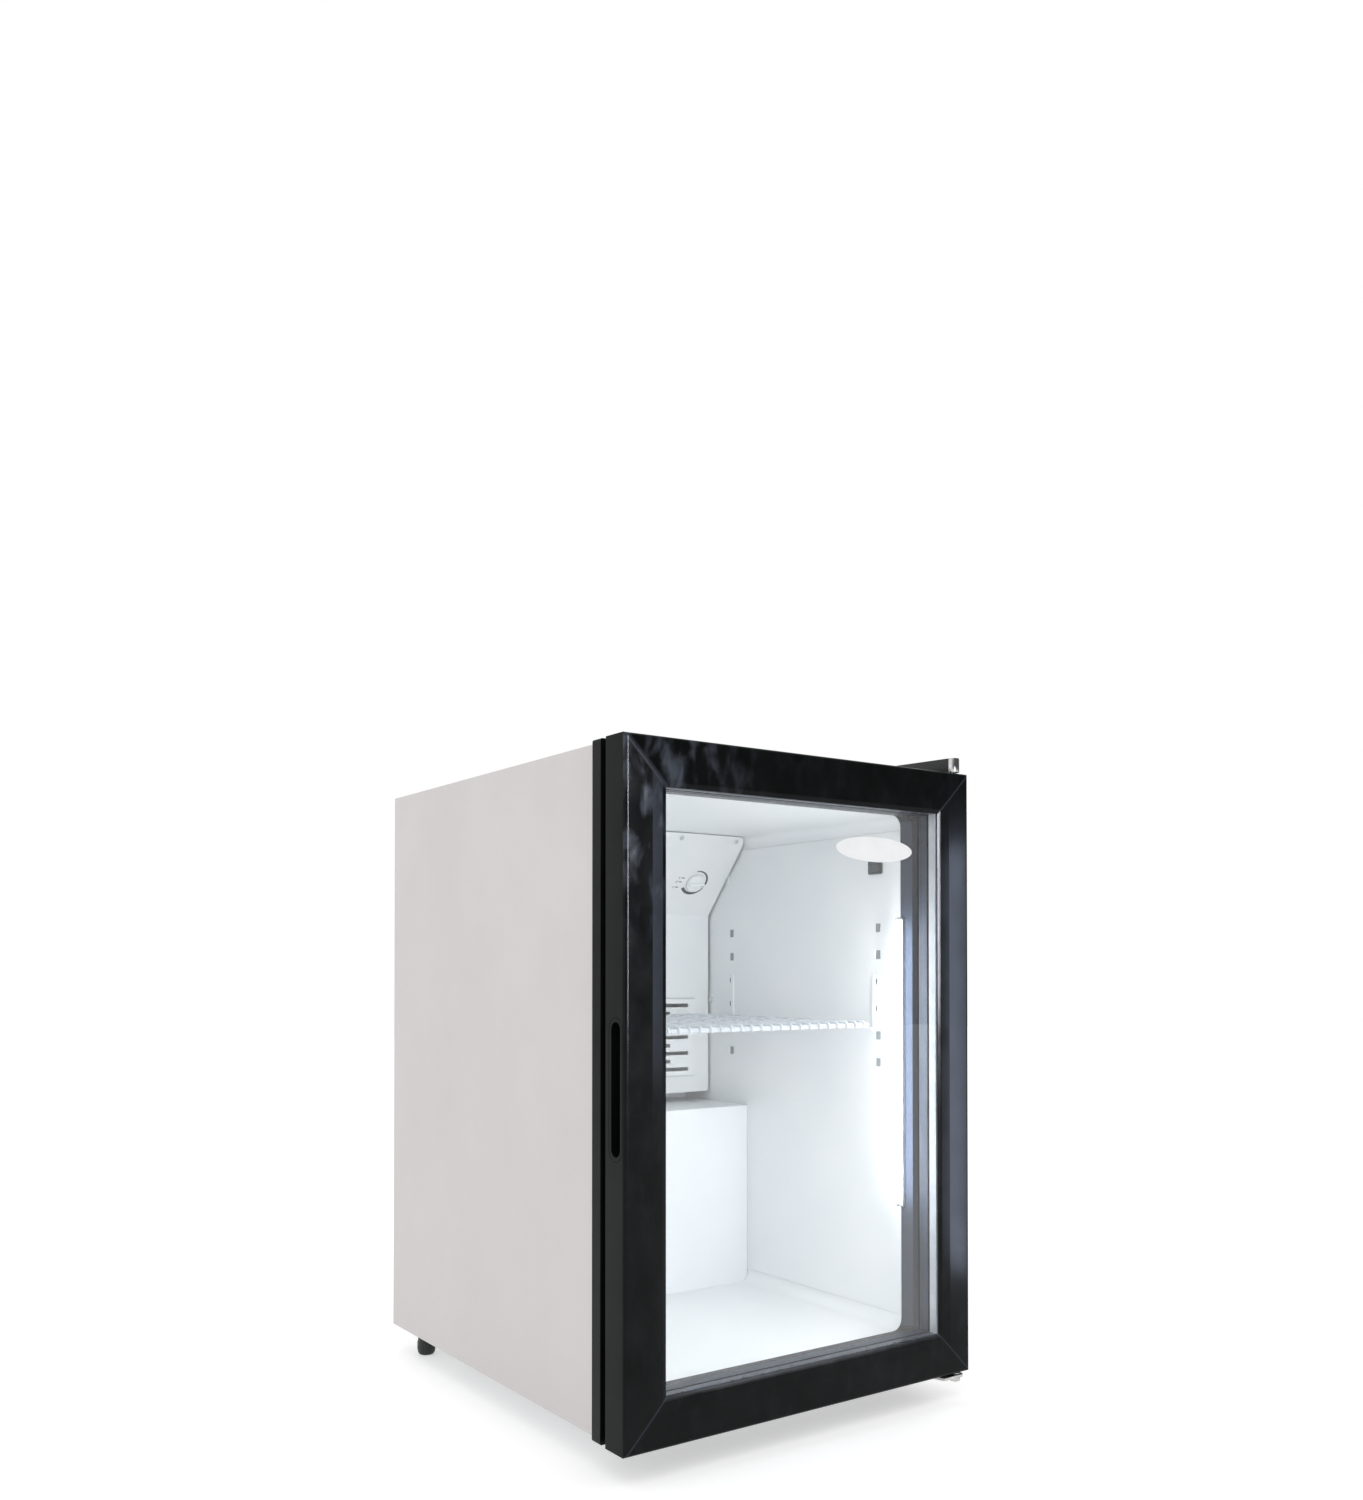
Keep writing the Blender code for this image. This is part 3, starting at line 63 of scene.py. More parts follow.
def addNode(tree, kind, *inputs, **named):
    # one shader node: inputs in their order, then inputs or attributes by name; a node or socket is linked
    node = tree.nodes.new("ShaderNode" + kind)
    for key, value in [*enumerate(inputs), *named.items()]:
        if isinstance(value, bpy.types.Node):
            value = value.outputs[0]
        if isinstance(value, bpy.types.NodeSocket):
            tree.links.new(value, node.inputs[key])
        elif isinstance(key, int) or key in node.inputs:
            node.inputs[key].default_value = value
        else:
            setattr(node, key, value)
    return node


def putObject(name, data):
    thing = bpy.data.objects.new(name, data)
    bpy.context.scene.collection.objects.link(thing)
    return thing


# Camera, at the place that the photograph's straight edges give
cameraLook = {
    "place": (-0.8181, -1.20565, 0.4446), "yaw": 35.217, "tilt": 0.782, "lens": 31.07, "sensor": 36,
    "rise": 0.1354, "slide": -0.0007}
yaw, tilt = math.radians(cameraLook["yaw"]), math.radians(cameraLook["tilt"])
aim = Vector((math.sin(yaw) * math.cos(tilt), math.cos(yaw) * math.cos(tilt), math.sin(tilt)))
cameraData = bpy.data.cameras.new("studioCamera")
cameraData.lens, cameraData.sensor_width = cameraLook["lens"], cameraLook["sensor"]
cameraData.shift_x, cameraData.shift_y = cameraLook["slide"], cameraLook["rise"]
camera = putObject("studioCamera", cameraData)
camera.location = cameraLook["place"]
camera.rotation_euler = aim.to_track_quat("-Z", "Y").to_euler()
bpy.context.scene.camera = camera
bpy.context.scene.view_settings.view_transform = "Standard"

# Studio: white all round for the camera, a darker room in front for reflections, soft boxes
studioLook = {
    "ambient": 1.0,
    # what reflections see fades to roomDark away from roomAim
    "roomDark": 0.10, "roomAim": (-0.45, 0.80, 0.40), "roomFade": (-0.55, 0.45),
    "boxes": [
        # name, place, aims at, width, height, watts, tint, what it lights
        ("frontBox", (-0.32, -2.9, 0.38), (0.18, -0.26, 0.38), 0.6, 0.5, 7, "E4ECFF", "all"),
        ("leftBox", (-3.2, -0.2, 1.3), (0, 0, 0.33), 2.4, 2.0, 5, "FFFFFF", "all"),
        ("topBox", (0.0, -0.4, 3.2), (0, 0, 0.3), 2.6, 2.6, 9, "FFFFFF", "all"),
        # standing panels that show on the door's face
        ("stileCard", (0.64, -0.72, 0.3175), (0, -0.72, 0.3175), 0.20, 0.635, 6.0, "D6E3FF", "gloss"),
        ("slopeCard", (1.46, -2.15, 0.59), (-0.18, -0.26, 0.5), 0.28, 0.84, 7.5, "D6E3FF", "gloss"),
        ("edgeCard", (0.55, -2.9, 0.84), (-0.21, -0.26, 0.55), 0.35, 1.05, 230, "F2F5FF", "gloss"),
        ("highCard", (1.9, -2.3, 0.95), (0.1, -0.26, 0.07), 1.1, 0.6, 84, "F2F5FF", "gloss"),
        # the lamp strip's light in the cold space, on the seal and the wall, and daylight through the doorway
        ("stripGlow", (0.158, -0.196, 0.348), (-0.10, 0.06, 0.33), 0.016, 0.30, 0.09, "FFFFFF", "matt"),
        ("sealGlow", (0.150, -0.214, 0.348), (0.178, -0.235, 0.348), 0.008, 0.29, 0.44, "FAFBFF", "matt"),
        ("stripHalo", (0.152, -0.200, 0.348), (0.17, -0.200, 0.348), 0.010, 0.26, 0.020, "FFFFFF", "matt"),
        ("doorFill", (0.0, -0.226, 0.338), (0.0, 0.0, 0.338), 0.33, 0.53, 0.35, "FFFFFF", "matt"),
    ],
    # nodes that a panel is kept to
    "kept": {"stileCard": "right_stile", "slopeCard": "left_stile",
             "edgeCard": "left_stile right_stile grip_cup", "highCard": "bottom_rail"},
}
world = bpy.data.worlds.new("studioAir")
bpy.context.scene.world = world
world.use_nodes = True
air = world.node_tree
air.nodes.clear()
rays = addNode(air, "LightPath").outputs
seen = addNode(air, "Math", rays["Is Camera Ray"], rays["Is Transmission Ray"], operation="MAXIMUM")
heading = addNode(air, "TexCoord").outputs["Generated"]
turned = addNode(air, "VectorMath", heading, studioLook["roomAim"], operation="DOT_PRODUCT").outputs["Value"]
room = addNode(air, "MapRange", turned, *studioLook["roomFade"], studioLook["roomDark"], 1.0, **smooth)
white = addNode(air, "Background", pureWhite, 1.0)
mirrored = addNode(air, "Background", pureWhite, room)
ambient = addNode(air, "Background", pureWhite, studioLook["ambient"])
soft = addNode(air, "MixShader", rays["Is Glossy Ray"], ambient, mirrored)
backdrop = addNode(air, "MixShader", seen, soft, white)
addNode(air, "OutputWorld", backdrop)
for name, place, target, width, height, watts, tint, reach in studioLook["boxes"]:
    boxData = bpy.data.lights.new(name, "AREA")
    boxData.shape = "RECTANGLE"
    boxData.size, boxData.size_y = width, height
    boxData.energy = watts
    boxData.color = linearColour(tint)[:3]
    lampBox = putObject(name, boxData)
    lampBox.location = place
    lampBox.rotation_euler = (Vector(target) - Vector(place)).to_track_quat("-Z", "Y").to_euler()
    lampBox.visible_camera = False
    lampBox.visible_diffuse = reach != "gloss"
    lampBox.visible_transmission = reach == "all"
    lampBox.visible_glossy = reach != "matt"
print("studio ready")


def makeFinish(name, dark, light, toneMm, rough, grainMm, depthMm, bump=0.2, inputs=None, stretch=(1, 1, 1)):
    # tone: cloudy noise between two colours; gloss: the same cloud on the roughness; grain: fine bump
    material = bpy.data.materials.new(name)
    material.use_nodes = True
    tree = material.node_tree
    shader = tree.nodes["Principled BSDF"]
    place = addNode(tree, "TexCoord").outputs["Object"]
    laid = addNode(tree, "Mapping", place, Scale=stretch)
    cloud = addNode(tree, "TexNoise", laid, Scale=1000 / toneMm, Detail=4.0, Roughness=0.6)
    spread = addNode(tree, "MapRange", cloud, 0.32, 0.68)
    tone = addNode(tree, "MixRGB", spread, linearColour(dark), linearColour(light))
    gloss = addNode(tree, "MapRange", spread, 0, 1, *rough)
    grain = addNode(tree, "TexNoise", laid, Scale=1000 / grainMm, Detail=2.0)
    relief = addNode(tree, "Bump", Strength=bump, Distance=depthMm / 1000, Height=grain)
    for socket, source in {"Base Color": tone, "Roughness": gloss, "Normal": relief}.items():
        tree.links.new(source.outputs[0], shader.inputs[socket])
    for key, value in (inputs or {}).items():
        shader.inputs[key].default_value = value
    return {"material": material, "tree": tree, "shader": shader, "place": place, "tone": tone, "gloss": gloss}


finishLooks = {
    # slot or use: finish, dark, light, cloud mm, roughness, grain mm, depth mm, bump, shader inputs, stretch
    # baked paint on steel: even, soft sheen with a fine orange peel
    "side_paint": ("bakedPaint", "D4CFCF", "D9D5D5", 140, (0.40, 0.50), 1.8, 0.03, 0.25),
    # zinc on steel: bright grey metal, its spangle is added below
    "galvanised_sheet": ("galvanisedSteel", "A4A7A9", "C3C6C8", 30, (0.34, 0.5), 3, 0.03, 0.2,
                         {"Metallic": 0.85}),
    # extruded gloss plastic: near black, faint draw lines, finger haze is added below
    "frame_black": ("extrudedGlossBlack", "0C0E0E", "131515", 45, (0.13, 0.20), 6, 0.02, 0.12,
                    {"Specular IOR Level": 0.08}),
    # moulded plastic with a spark-eroded skin: dull black with a fine grain
    "black_plastic": ("mouldedSatinBlack", "141617", "1D1F20", 20, (0.36, 0.48), 0.9, 0.05, 0.3),
    # the same in dark grey
    "switch_grey": ("mouldedGrey", "3E4246", "4C5054", 8, (0.4, 0.5), 0.7, 0.04, 0.25),
    # vacuum-formed polystyrene: cool white, soft gloss with slow waves
    "liner_white": ("formedLiner", "ECEFF1", "F2F4F5", 120, (0.28, 0.40), 22, 0.15, 0.12),
    # moulded plastic: white and duller than the liner
    "white_plastic": ("mouldedWhite", "EDEFF0", "F4F5F4", 60, (0.36, 0.46), 1.2, 0.03),
    # rigid foam: cream cells
    "foam": ("rigidFoam", "DCCB97", "EFE4BF", 12, (0.85, 0.95), 2.2, 0.8, 0.6),
    # rolled bar between the panes: pale satin metal
    "spacer": ("satinSpacer", "CDD2D8", "DFE3E8", 25, (0.30, 0.42), 1.5, 0.03, 0.2, {"Metallic": 0.35}),
    # soft rubber: dull and nearly black
    "rubber": ("softRubber", "202224", "2C2F31", 18, (0.55, 0.72), 1.0, 0.05, 0.35),
    # dipped plastic coat on wire: thick, smooth white with slow lumps
    "white_wire": ("dippedWire", "CED4DB", "DCE1E6", 14, (0.22, 0.34), 5, 0.08, 0.3),
    # bright plating: a mirror with cloudy patches
    "chrome": ("platedSteel", "B4B4B3", "D2D1D0", 9, (0.10, 0.26), 2.5, 0.03, 0.3, {"Metallic": 1.0}),
    # rolled fin stock: silver with fine upright lines
    "aluminium": ("millAluminium", "BDC0C2", "D3D6D8", 6, (0.28, 0.42), 0.8, 0.02, 0.2, {"Metallic": 1.0},
                  (1, 1, 0.08)),
    # drawn tube: copper with brown stains
    "copper": ("drawnCopper", "8A4F35", "C58460", 10, (0.24, 0.42), 1.5, 0.03, 0.2, {"Metallic": 1.0}),
    # dipped paint on steel: black, uneven half gloss
    "black_paint": ("dippedBlackPaint", "0F1011", "1B1D1E", 16, (0.30, 0.46), 2.4, 0.06, 0.3),
    # float glass: clear, with a film that only shows in the gloss
    "glass": ("floatGlass", "FDFEFE", "FFFFFF", 90, (0.0, 0.02), 240, 0.01, 0.02,
              {"Transmission Weight": 1.0, "IOR": 1.36}),
    # white plastic that glows
    "lamp": ("glowingLens", "F2F5F8", "FFFFFF", 5, (0.3, 0.4), 1.0, 0.02, 0.2,
             {"Emission Color": linearColour("FAFCFF")}),
    # strip behind the glass: dull blue-grey plastic
    "bead": ("glazingBead", "2B323E", "373E4B", 16, (0.35, 0.5), 1.2, 0.04, 0.25),
    # sealant between the panes: dark, half glossy mass; on the spacer's level bars its dark colour is also
    # painted shade
    "sealant_and_shade": ("butylSealantAndShade", "262C38", "3C4452", 14, (0.25, 0.4), 3, 0.05, 0.3),
    # door seal: dull blue-grey rubber
    "seal": ("greySeal", "2D3440", "39404D", 18, (0.45, 0.6), 1.0, 0.05, 0.35),
    # screen print: dull blue-black ink
    "ink": ("screenPrint", "20283A", "2C3548", 2, (0.5, 0.6), 0.3, 0.01),
    # dull zinc plating: pale grey, hardly a mirror
    "screw": ("dullZincScrew", "C9CCCE", "DDE0E1", 3, (0.38, 0.5), 0.5, 0.03, 0.2, {"Metallic": 0.35}),
    # film in the shelf slots: flat mid grey, painted shade that stands for the dark hollow behind each slot
    "shade_film": ("slotShadeFilm", "868A8E", "989CA0", 6, (0.6, 0.75), 0.8, 0.04),
    # film on the glass: white with a soft sheen
    "sign": ("printedFilm", "F4F4F3", "F8F8F7", 18, (0.38, 0.5), 1.5, 0.02),
    # floor: matt and pale
    "floor": ("paleFloor", "D2D2D2", "D8D8D8", 900, (0.6, 0.7), 4, 0.02),
}
finishes = {use: makeFinish(*look) for use, look in finishLooks.items()}

# Zinc spangle: flat crystals, each with its own grey
zinc, zincLook = finishes["galvanised_sheet"], {"crystalMm": 11}
crystal = addNode(zinc["tree"], "TexVoronoi", zinc["place"], Scale=1000 / zincLook["crystalMm"], Randomness=1.0)
shade = addNode(zinc["tree"], "SeparateColor", crystal.outputs["Color"]).outputs
zinc["tree"].links.new(shade[0], zinc["tone"].inputs["Fac"])
zinc["tree"].links.new(shade[1], zinc["gloss"].inputs["Value"])

# Finger haze: pale smears, thick near the upper left corner of the door and thin elsewhere
haze = finishes["frame_black"]
tree, at = haze["tree"], haze["place"]
hazeLook = {
    "colour": "767E8C", "smearMm": 21, "turn": (0.0, 0.25, 0.0), "stretch": (1.5, 1.0, 0.75),
    "patch": (0.44, 0.84), "corner": (-0.182, -0.26, 0.602), "reach": (0.02, 0.14), "thick": 0.42, "thin": 0.02,
    "dull": 0.5, "doorFace": -0.2615, "middle": 0.3385, "mitre": 0.06965, "weld": 0.18,
    "weldWide": (0.0003, 0.0010), "streak": 0.9, "streakWide": (0.0004, 0.0036)}
wiped = addNode(tree, "Mapping", at, Rotation=hazeLook["turn"], Scale=hazeLook["stretch"])
smear = addNode(tree, "TexNoise", wiped, Scale=1000 / hazeLook["smearMm"], Detail=3.0, Roughness=0.45,
                Distortion=0.35)
patch = addNode(tree, "MapRange", smear, *hazeLook["patch"], **smooth)
away = addNode(tree, "VectorMath", at, hazeLook["corner"], operation="DISTANCE").outputs["Value"]
near = addNode(tree, "MapRange", away, *hazeLook["reach"], hazeLook["thick"], hazeLook["thin"], **smooth)
cloudy = addNode(tree, "Math", patch, near, operation="MULTIPLY")
# welded corners: the four mitres fold onto one line, |x| - |z - middle| + offset = 0, in front of doorFace
folded = addNode(tree, "VectorMath", at, (0, 0, hazeLook["middle"]), operation="SUBTRACT")
quarter = addNode(tree, "VectorMath", folded, operation="ABSOLUTE")
across = addNode(tree, "VectorMath", quarter, (0.7071, 0, -0.7071), operation="DOT_PRODUCT").outputs["Value"]
offLine = addNode(tree, "Math", across, hazeLook["mitre"], operation="ADD")
gap = addNode(tree, "Math", offLine, operation="ABSOLUTE")
depthAt = addNode(tree, "SeparateXYZ", at).outputs["Y"]
onDoor = addNode(tree, "Math", depthAt, hazeLook["doorFace"], operation="LESS_THAN")
weld = addNode(tree, "MapRange", gap, *hazeLook["weldWide"], hazeLook["weld"], 0.0)
weldLine = addNode(tree, "Math", weld, onDoor, operation="MULTIPLY")
# a wiped streak lies along the upper left mitre
wipe = addNode(tree, "MapRange", gap, *hazeLook["streakWide"], hazeLook["streak"], 0.0, **smooth)
streak = addNode(tree, "Math", wipe, near, operation="MULTIPLY")
ragged = addNode(tree, "Math", streak, smear, operation="MULTIPLY")
marked = addNode(tree, "Math", cloudy, ragged, operation="MAXIMUM")
smudged = addNode(tree, "Math", marked, onDoor, operation="MULTIPLY")
amount = addNode(tree, "Math", smudged, weldLine, operation="MAXIMUM")
hazed = addNode(tree, "MixRGB", amount, haze["tone"], linearColour(hazeLook["colour"]))
dulled = addNode(tree, "Math", amount, hazeLook["dull"], haze["gloss"], operation="MULTIPLY_ADD")
tree.links.new(hazed.outputs[0], haze["shader"].inputs["Base Color"])
tree.links.new(dulled.outputs[0], haze["shader"].inputs["Roughness"])

# Glass lets light through to what lies behind it, with a trace of green
glass, glassLook = finishes["glass"], {"through": (0.985, 0.99, 0.99, 1)}
tree = glass["tree"]
rays = addNode(tree, "LightPath").outputs
letIn = addNode(tree, "Math", rays["Is Shadow Ray"], rays["Is Diffuse Ray"], operation="MAXIMUM")
clear = addNode(tree, "BsdfTransparent", glassLook["through"])
pane = addNode(tree, "MixShader", letIn, glass["shader"], clear)
tree.links.new(pane.outputs[0], tree.nodes["Material Output"].inputs["Surface"])

# Lamp: each diode is a bright spot in the glow; the wave texture repeats every 2 pi / 20 of its scale
lamp, lampLook = finishes["lamp"], {"strength": 40.0, "beadMm": 8.3, "between": 0.4, "bead": 1.6}
beads = addNode(lamp["tree"], "TexWave", lamp["place"], Scale=2 * math.pi / 20 * 1000 / lampLook["beadMm"],
                bands_direction="Z", wave_profile="SIN").outputs["Fac"]
glowRange = (lampLook["between"] * lampLook["strength"], lampLook["bead"] * lampLook["strength"])
power = addNode(lamp["tree"], "MapRange", beads, 0, 1, *glowRange)
lamp["tree"].links.new(power.outputs[0], lamp["shader"].inputs["Emission Strength"])

for node, piece in nodes.items():
    piece.data.materials.clear()
    piece.data.materials.append(finishes[slotOf[node]]["material"])
print("finishes laid on", len(nodes), "nodes")


def toneAround(finish, low, high, reach, share, tone):
    # colour laid from a box's edge, seen along y, outwards for reach: d = max(|x - cx| - hx, |z - cz| - hz)
    tree = finish["tree"]
    low, high = Vector(low), Vector(high)
    moved = addNode(tree, "VectorMath", finish["place"], (low + high) / 2, operation="SUBTRACT")
    folded = addNode(tree, "VectorMath", moved, operation="ABSOLUTE")
    beyond = addNode(tree, "VectorMath", folded, (high - low) / 2, operation="SUBTRACT")
    sides = addNode(tree, "SeparateXYZ", beyond).outputs
    farther = addNode(tree, "Math", sides["X"], sides["Z"], operation="MAXIMUM")
    laid = addNode(tree, "MapRange", farther, *reach, share, 0.0, **smooth)
    mixed = addNode(tree, "MixRGB", laid, finish["tone"], linearColour(tone))
    tree.links.new(mixed.outputs[0], finish["shader"].inputs["Base Color"])


def fullTurn(count):
    return np.linspace(0, 2 * math.pi, count, endpoint=False)


def gridFaces(rows, columns, wrapRows=False, wrapColumns=False):
    # quads between neighbours of a rows by columns grid
    row = np.arange(rows if wrapRows else rows - 1)[:, None]
    column = np.arange(columns if wrapColumns else columns - 1)[None, :]
    nextRow, nextColumn = (row + 1) % rows, (column + 1) % columns
    corners = [row * columns + column, row * columns + nextColumn,
               nextRow * columns + nextColumn, nextRow * columns + column]
    return np.stack(np.broadcast_arrays(*corners), -1).reshape(-1, 4).tolist()


def tubeFaces(rows, columns):
    # a grid closed across its columns, with a cap at each end
    ends = [list(range(columns)), list(range((rows - 1) * columns, rows * columns))]
    return gridFaces(rows, columns, wrapColumns=True) + ends


def putPiece(name, shells, node=None, finish=None, body="cabinet", slot=None, sharp=40, ease=None):
    # shells are (points, faces) pairs; doubles are merged and faces turned outwards
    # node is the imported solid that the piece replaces, which gives its body and slot
    # ease, (edge in mm, segments, angle), rounds edges over the angle; without it those over sharp stay crisp
    # a fourth value cuts the facets of rounds finer by that many mm, and folds of a few degrees stay crisp
    body, slot = (bodyOf[node], slotOf[node]) if node else (body, slot)
    points, faces, start = [], [], 0
    for shellPoints, shellFaces in shells:
        shellPoints = np.asarray(shellPoints, float).reshape(-1, 3)
        points.append(shellPoints)
        faces += [[int(i) + start for i in face] for face in shellFaces]
        start += len(shellPoints)
    mesh = bpy.data.meshes.new(name)
    mesh.from_pydata(np.concatenate(points).tolist(), [], faces)
    shape = bmesh.new()
    shape.from_mesh(mesh)
    bmesh.ops.remove_doubles(shape, verts=shape.verts, dist=2e-6)
    bmesh.ops.recalc_face_normals(shape, faces=shape.faces)
    if ease:
        bmesh.ops.dissolve_limit(shape, angle_limit=math.radians(0.5), verts=shape.verts, edges=shape.edges)
        bmesh.ops.connect_verts_concave(shape, faces=shape.faces)
    if ease and len(ease) > 3:
        turn = {edge: math.degrees(edge.calc_face_angle(0)) for edge in shape.edges}
        for edge, angle in turn.items():
            edge.smooth = not 2 < angle < 8
        arcs = [edge for edge, angle in turn.items() if 8 < angle < ease[2]]
        bmesh.ops.bevel(shape, geom=arcs, offset=ease[3] / 1000, segments=4, profile=0.5, affect="EDGES",
                        clamp_overlap=True)
    shape.to_mesh(mesh)
    shape.free()
    mesh.shade_smooth()
    mesh.materials.append(finishes[finish or slot]["material"])
    piece = putObject(name, mesh)
    if ease:
        bevel = piece.modifiers.new("easedEdges", "BEVEL")
        bevel.width, bevel.segments = ease[0] / 1000, ease[1]
        bevel.limit_method, bevel.angle_limit = "ANGLE", math.radians(ease[2])
        bevel.harden_normals = True
    else:
        mesh.set_sharp_from_angle(angle=math.radians(sharp))
    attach(piece, body)
    if node:
        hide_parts(node)
    return piece


def meshArray(items, name):
    # x, y and z rows of a vector that each item of a mesh has
    values = np.empty(len(items) * 3)
    items.foreach_get(name, values)
    return values.reshape(-1, 3).T


def shellOf(mesh):
    return meshArray(mesh.vertices, "co").T, [list(face.vertices) for face in mesh.polygons]


def layFinish(mesh, finish, chosen):
    # second finish on the chosen faces
    mesh.materials.append(finishes[finish]["material"])
    mesh.polygons.foreach_set("material_index", chosen.astype(np.int32))


def easedPath(corners, radius, steps=6):
    # straight runs joined by parabolas: p(t) = (1 - t)^2 start + 2 t (1 - t) corner + t^2 end at each corner
    corners = np.asarray(corners, float)
    corner = corners[1:-1]
    start, end = (corner + radius * (other - corner) / np.linalg.norm(other - corner, axis=1, keepdims=True)
                  for other in (corners[:-2], corners[2:]))
    t = np.linspace(0, 1, steps + 1)[None, :, None]
    turns = (1 - t) ** 2 * start[:, None] + 2 * t * (1 - t) * corner[:, None] + t ** 2 * end[:, None]
    return np.concatenate([corners[:1], turns.reshape(-1, 3), corners[-1:]])


def serpentine(passes, top, pitch, half, depth, hand):
    # level runs from the top down, joined by half circles:
    # p(a) = (half + sin a * pitch / 2, z - (1 - cos a) * pitch / 2)
    a = np.linspace(0, math.pi, 13)
    runs = []
    for row in range(passes):
        z = top - row * pitch
        runs.append([(-hand * half, depth, z), (0, depth, z)])
        if row < passes - 1:
            runs.append(np.column_stack([hand * (half + np.sin(a) * pitch / 2), np.full(len(a), depth),
                                         z - (1 - np.cos(a)) * pitch / 2])[:-1])
            hand = -hand
    return np.concatenate(runs + [[(hand * half, depth, z)]])


def roundBar(path, radius, sides=12, closed=False):
    # circle carried along a path: p(s, a) = path(s) + radius * (cos a * u(s) + sin a * v(s))
    path = np.asarray(path, float)
    ahead, behind = np.roll(path, -1, axis=0), np.roll(path, 1, axis=0)
    if not closed:
        ahead[-1], behind[0] = path[-1], path[0]
    run = ahead - behind
    run /= np.linalg.norm(run, axis=1, keepdims=True)
    u = np.cross(run, (0.60, 0.53, 0.60))
    u /= np.linalg.norm(u, axis=1, keepdims=True)
    v = np.cross(run, u)
    a = fullTurn(sides)[None, :, None]
    rings = path[:, None] + radius * (np.cos(a) * u[:, None] + np.sin(a) * v[:, None])
    if closed:
        return rings, gridFaces(len(path), sides, wrapRows=True, wrapColumns=True)
    return rings, tubeFaces(len(path), sides)


def lathed(profile, place, axes=np.eye(3), sides=48, flutes=0, depth=0.0):
    # (radius, height) turned about the third axis: p(h, a) = place + r cos a X + r sin a Y + h Z
    # flutes: the radius of the rows that carry them swells and sinks by depth as cos(flutes * a)
    radius, height, carried = np.array([(*row, 0)[:3] for row in profile], float).T
    a = fullTurn(sides)
    swollen = radius[:, None] + depth * carried[:, None] * np.cos(flutes * a)[None, :]
    local = np.stack([swollen * np.cos(a), swollen * np.sin(a), np.repeat(height[:, None], sides, axis=1)], -1)
    return local @ axes + place, gridFaces(len(radius), sides, wrapColumns=True)


def slab(outline, low, high, place=(0, 0, 0), axes=np.eye(3)):
    # closed outline in the local plane, carried from low to high along the third axis
    outline = np.asarray(outline, float)
    count = len(outline)
    local = np.concatenate([np.column_stack([outline, np.full(count, level)]) for level in (high, low)])
    faces = [list(range(count)), list(range(count, 2 * count))[::-1]]
    faces += gridFaces(2, count, wrapColumns=True)
    return local @ axes + place, faces


def softBox(width, height, corner, steps=5):
    # rectangle with round corners, about the origin
    a = fullTurn(4 * steps) + math.pi / (4 * steps)
    side = np.stack([np.cos(a), np.sin(a)], -1)
    return np.sign(side) * (np.array([width, height]) / 2 - corner) + corner * side


def filmStrip(inner, outer, lift, place, axes):
    # band between two lines in the local plane, lift thick: rows inner low, inner top, outer top, outer low
    inner, outer = np.asarray(inner, float), np.asarray(outer, float)
    count = len(inner)
    flat = np.concatenate([inner, inner, outer, outer])
    local = np.column_stack([flat, np.repeat([0, lift, lift, 0], count)])
    faces = gridFaces(4, count, wrapRows=True)
    faces += [[0, count, 2 * count, 3 * count], [count - 1, 4 * count - 1, 3 * count - 1, 2 * count - 1]]
    return local @ axes + place, faces


def ringSweep(profile, low, high):
    # (inset, depth) profile carried round an upright rectangle, mitred at its four corners
    inset, depth = np.asarray(profile, float).T
    x = np.stack([low[0] + inset, high[0] - inset])[[0, 1, 1, 0]]
    z = np.stack([low[1] + inset, high[1] - inset])[[0, 0, 1, 1]]
    points = np.stack([x, np.broadcast_to(depth, x.shape), z], -1)
    return points, gridFaces(4, len(inset), wrapRows=True, wrapColumns=True)


def screwHead(radius, height, place, axes, turn=0.3):
    # low dome with a cross sunk in it: h(r, a) = height * sqrt(1 - 0.8 (r / R)^2) - recess inside the cross
    r = np.array([[0, 0.1, 0.18, 0.26, 0.38, 0.5, 0.58, 0.66, 0.8, 0.92, 1.0, 1.0]]).T * radius
    a = fullTurn(48)
    x, y = r * np.cos(a), r * np.sin(a)
    dome = height * np.sqrt(1 - 0.8 * (r / radius) ** 2)
    dome[-1] = 0
    arms = np.minimum(np.abs(x), np.abs(y)) < 0.17 * radius
    inside = np.maximum(np.abs(x), np.abs(y)) < 0.60 * radius
    level = dome - 0.45 * height * (arms & inside)
    local = np.stack([r * np.cos(a + turn), r * np.sin(a + turn), level], -1)
    faces = gridFaces(len(r), len(a), wrapColumns=True)
    faces.append(list(range((len(r) - 1) * len(a), len(r) * len(a))))
    return local @ axes + place, faces


# Nodes whose own shape is right: copied, merged, and eased by the values before their names
easedNodes = [
    (0.25, 2, 26, 0.62, "left_stile right_stile top_rail bottom_rail"), (0.35, 2, 40, "grip_cup"),
    (0.3, 2, 40, "spacer_frame"), (0.5, 2, 40, "front_frame"),
    (0.45, 3, 40, "left_side_panel right_side_panel"),
    (0.4, 2, 40, "top_panel back_panel base_pan niche_panel"), (0.5, 2, 40, "compressor_base"),
    (0.3, 2, 40, "liner_ceiling liner_floor"), (0.6, 3, 40, "liner_step"),
    (0.3, 2, 40, "liner_back_wall liner_left_wall liner_right_wall"), (0.35, 2, 20, "evaporator_cover"),
    (0.35, 2, 40, "air_grille"), (0.3, 2, 40, "fan_frame"), (0.15, 2, 40, "lamp_channel"),
    (0.4, 2, 40, "front_left_shelf_clip front_right_shelf_clip rear_left_shelf_clip rear_right_shelf_clip"),
    (0.4, 2, 40, "switch_housing"), (0.4, 2, 20, "switch_rocker"), (0.3, 2, 40, "top_hinge_bracket"),
    (0.4, 2, 40, "top_hinge_cover bottom_hinge_bracket"), (1.6, 3, 40, "relay_cover"),
    (0.5, 2, 40, "evaporation_pan"), (0.4, 2, 40, "cord_gland"), (0.8, 2, 40, "thermostat_body")]
forms = {}
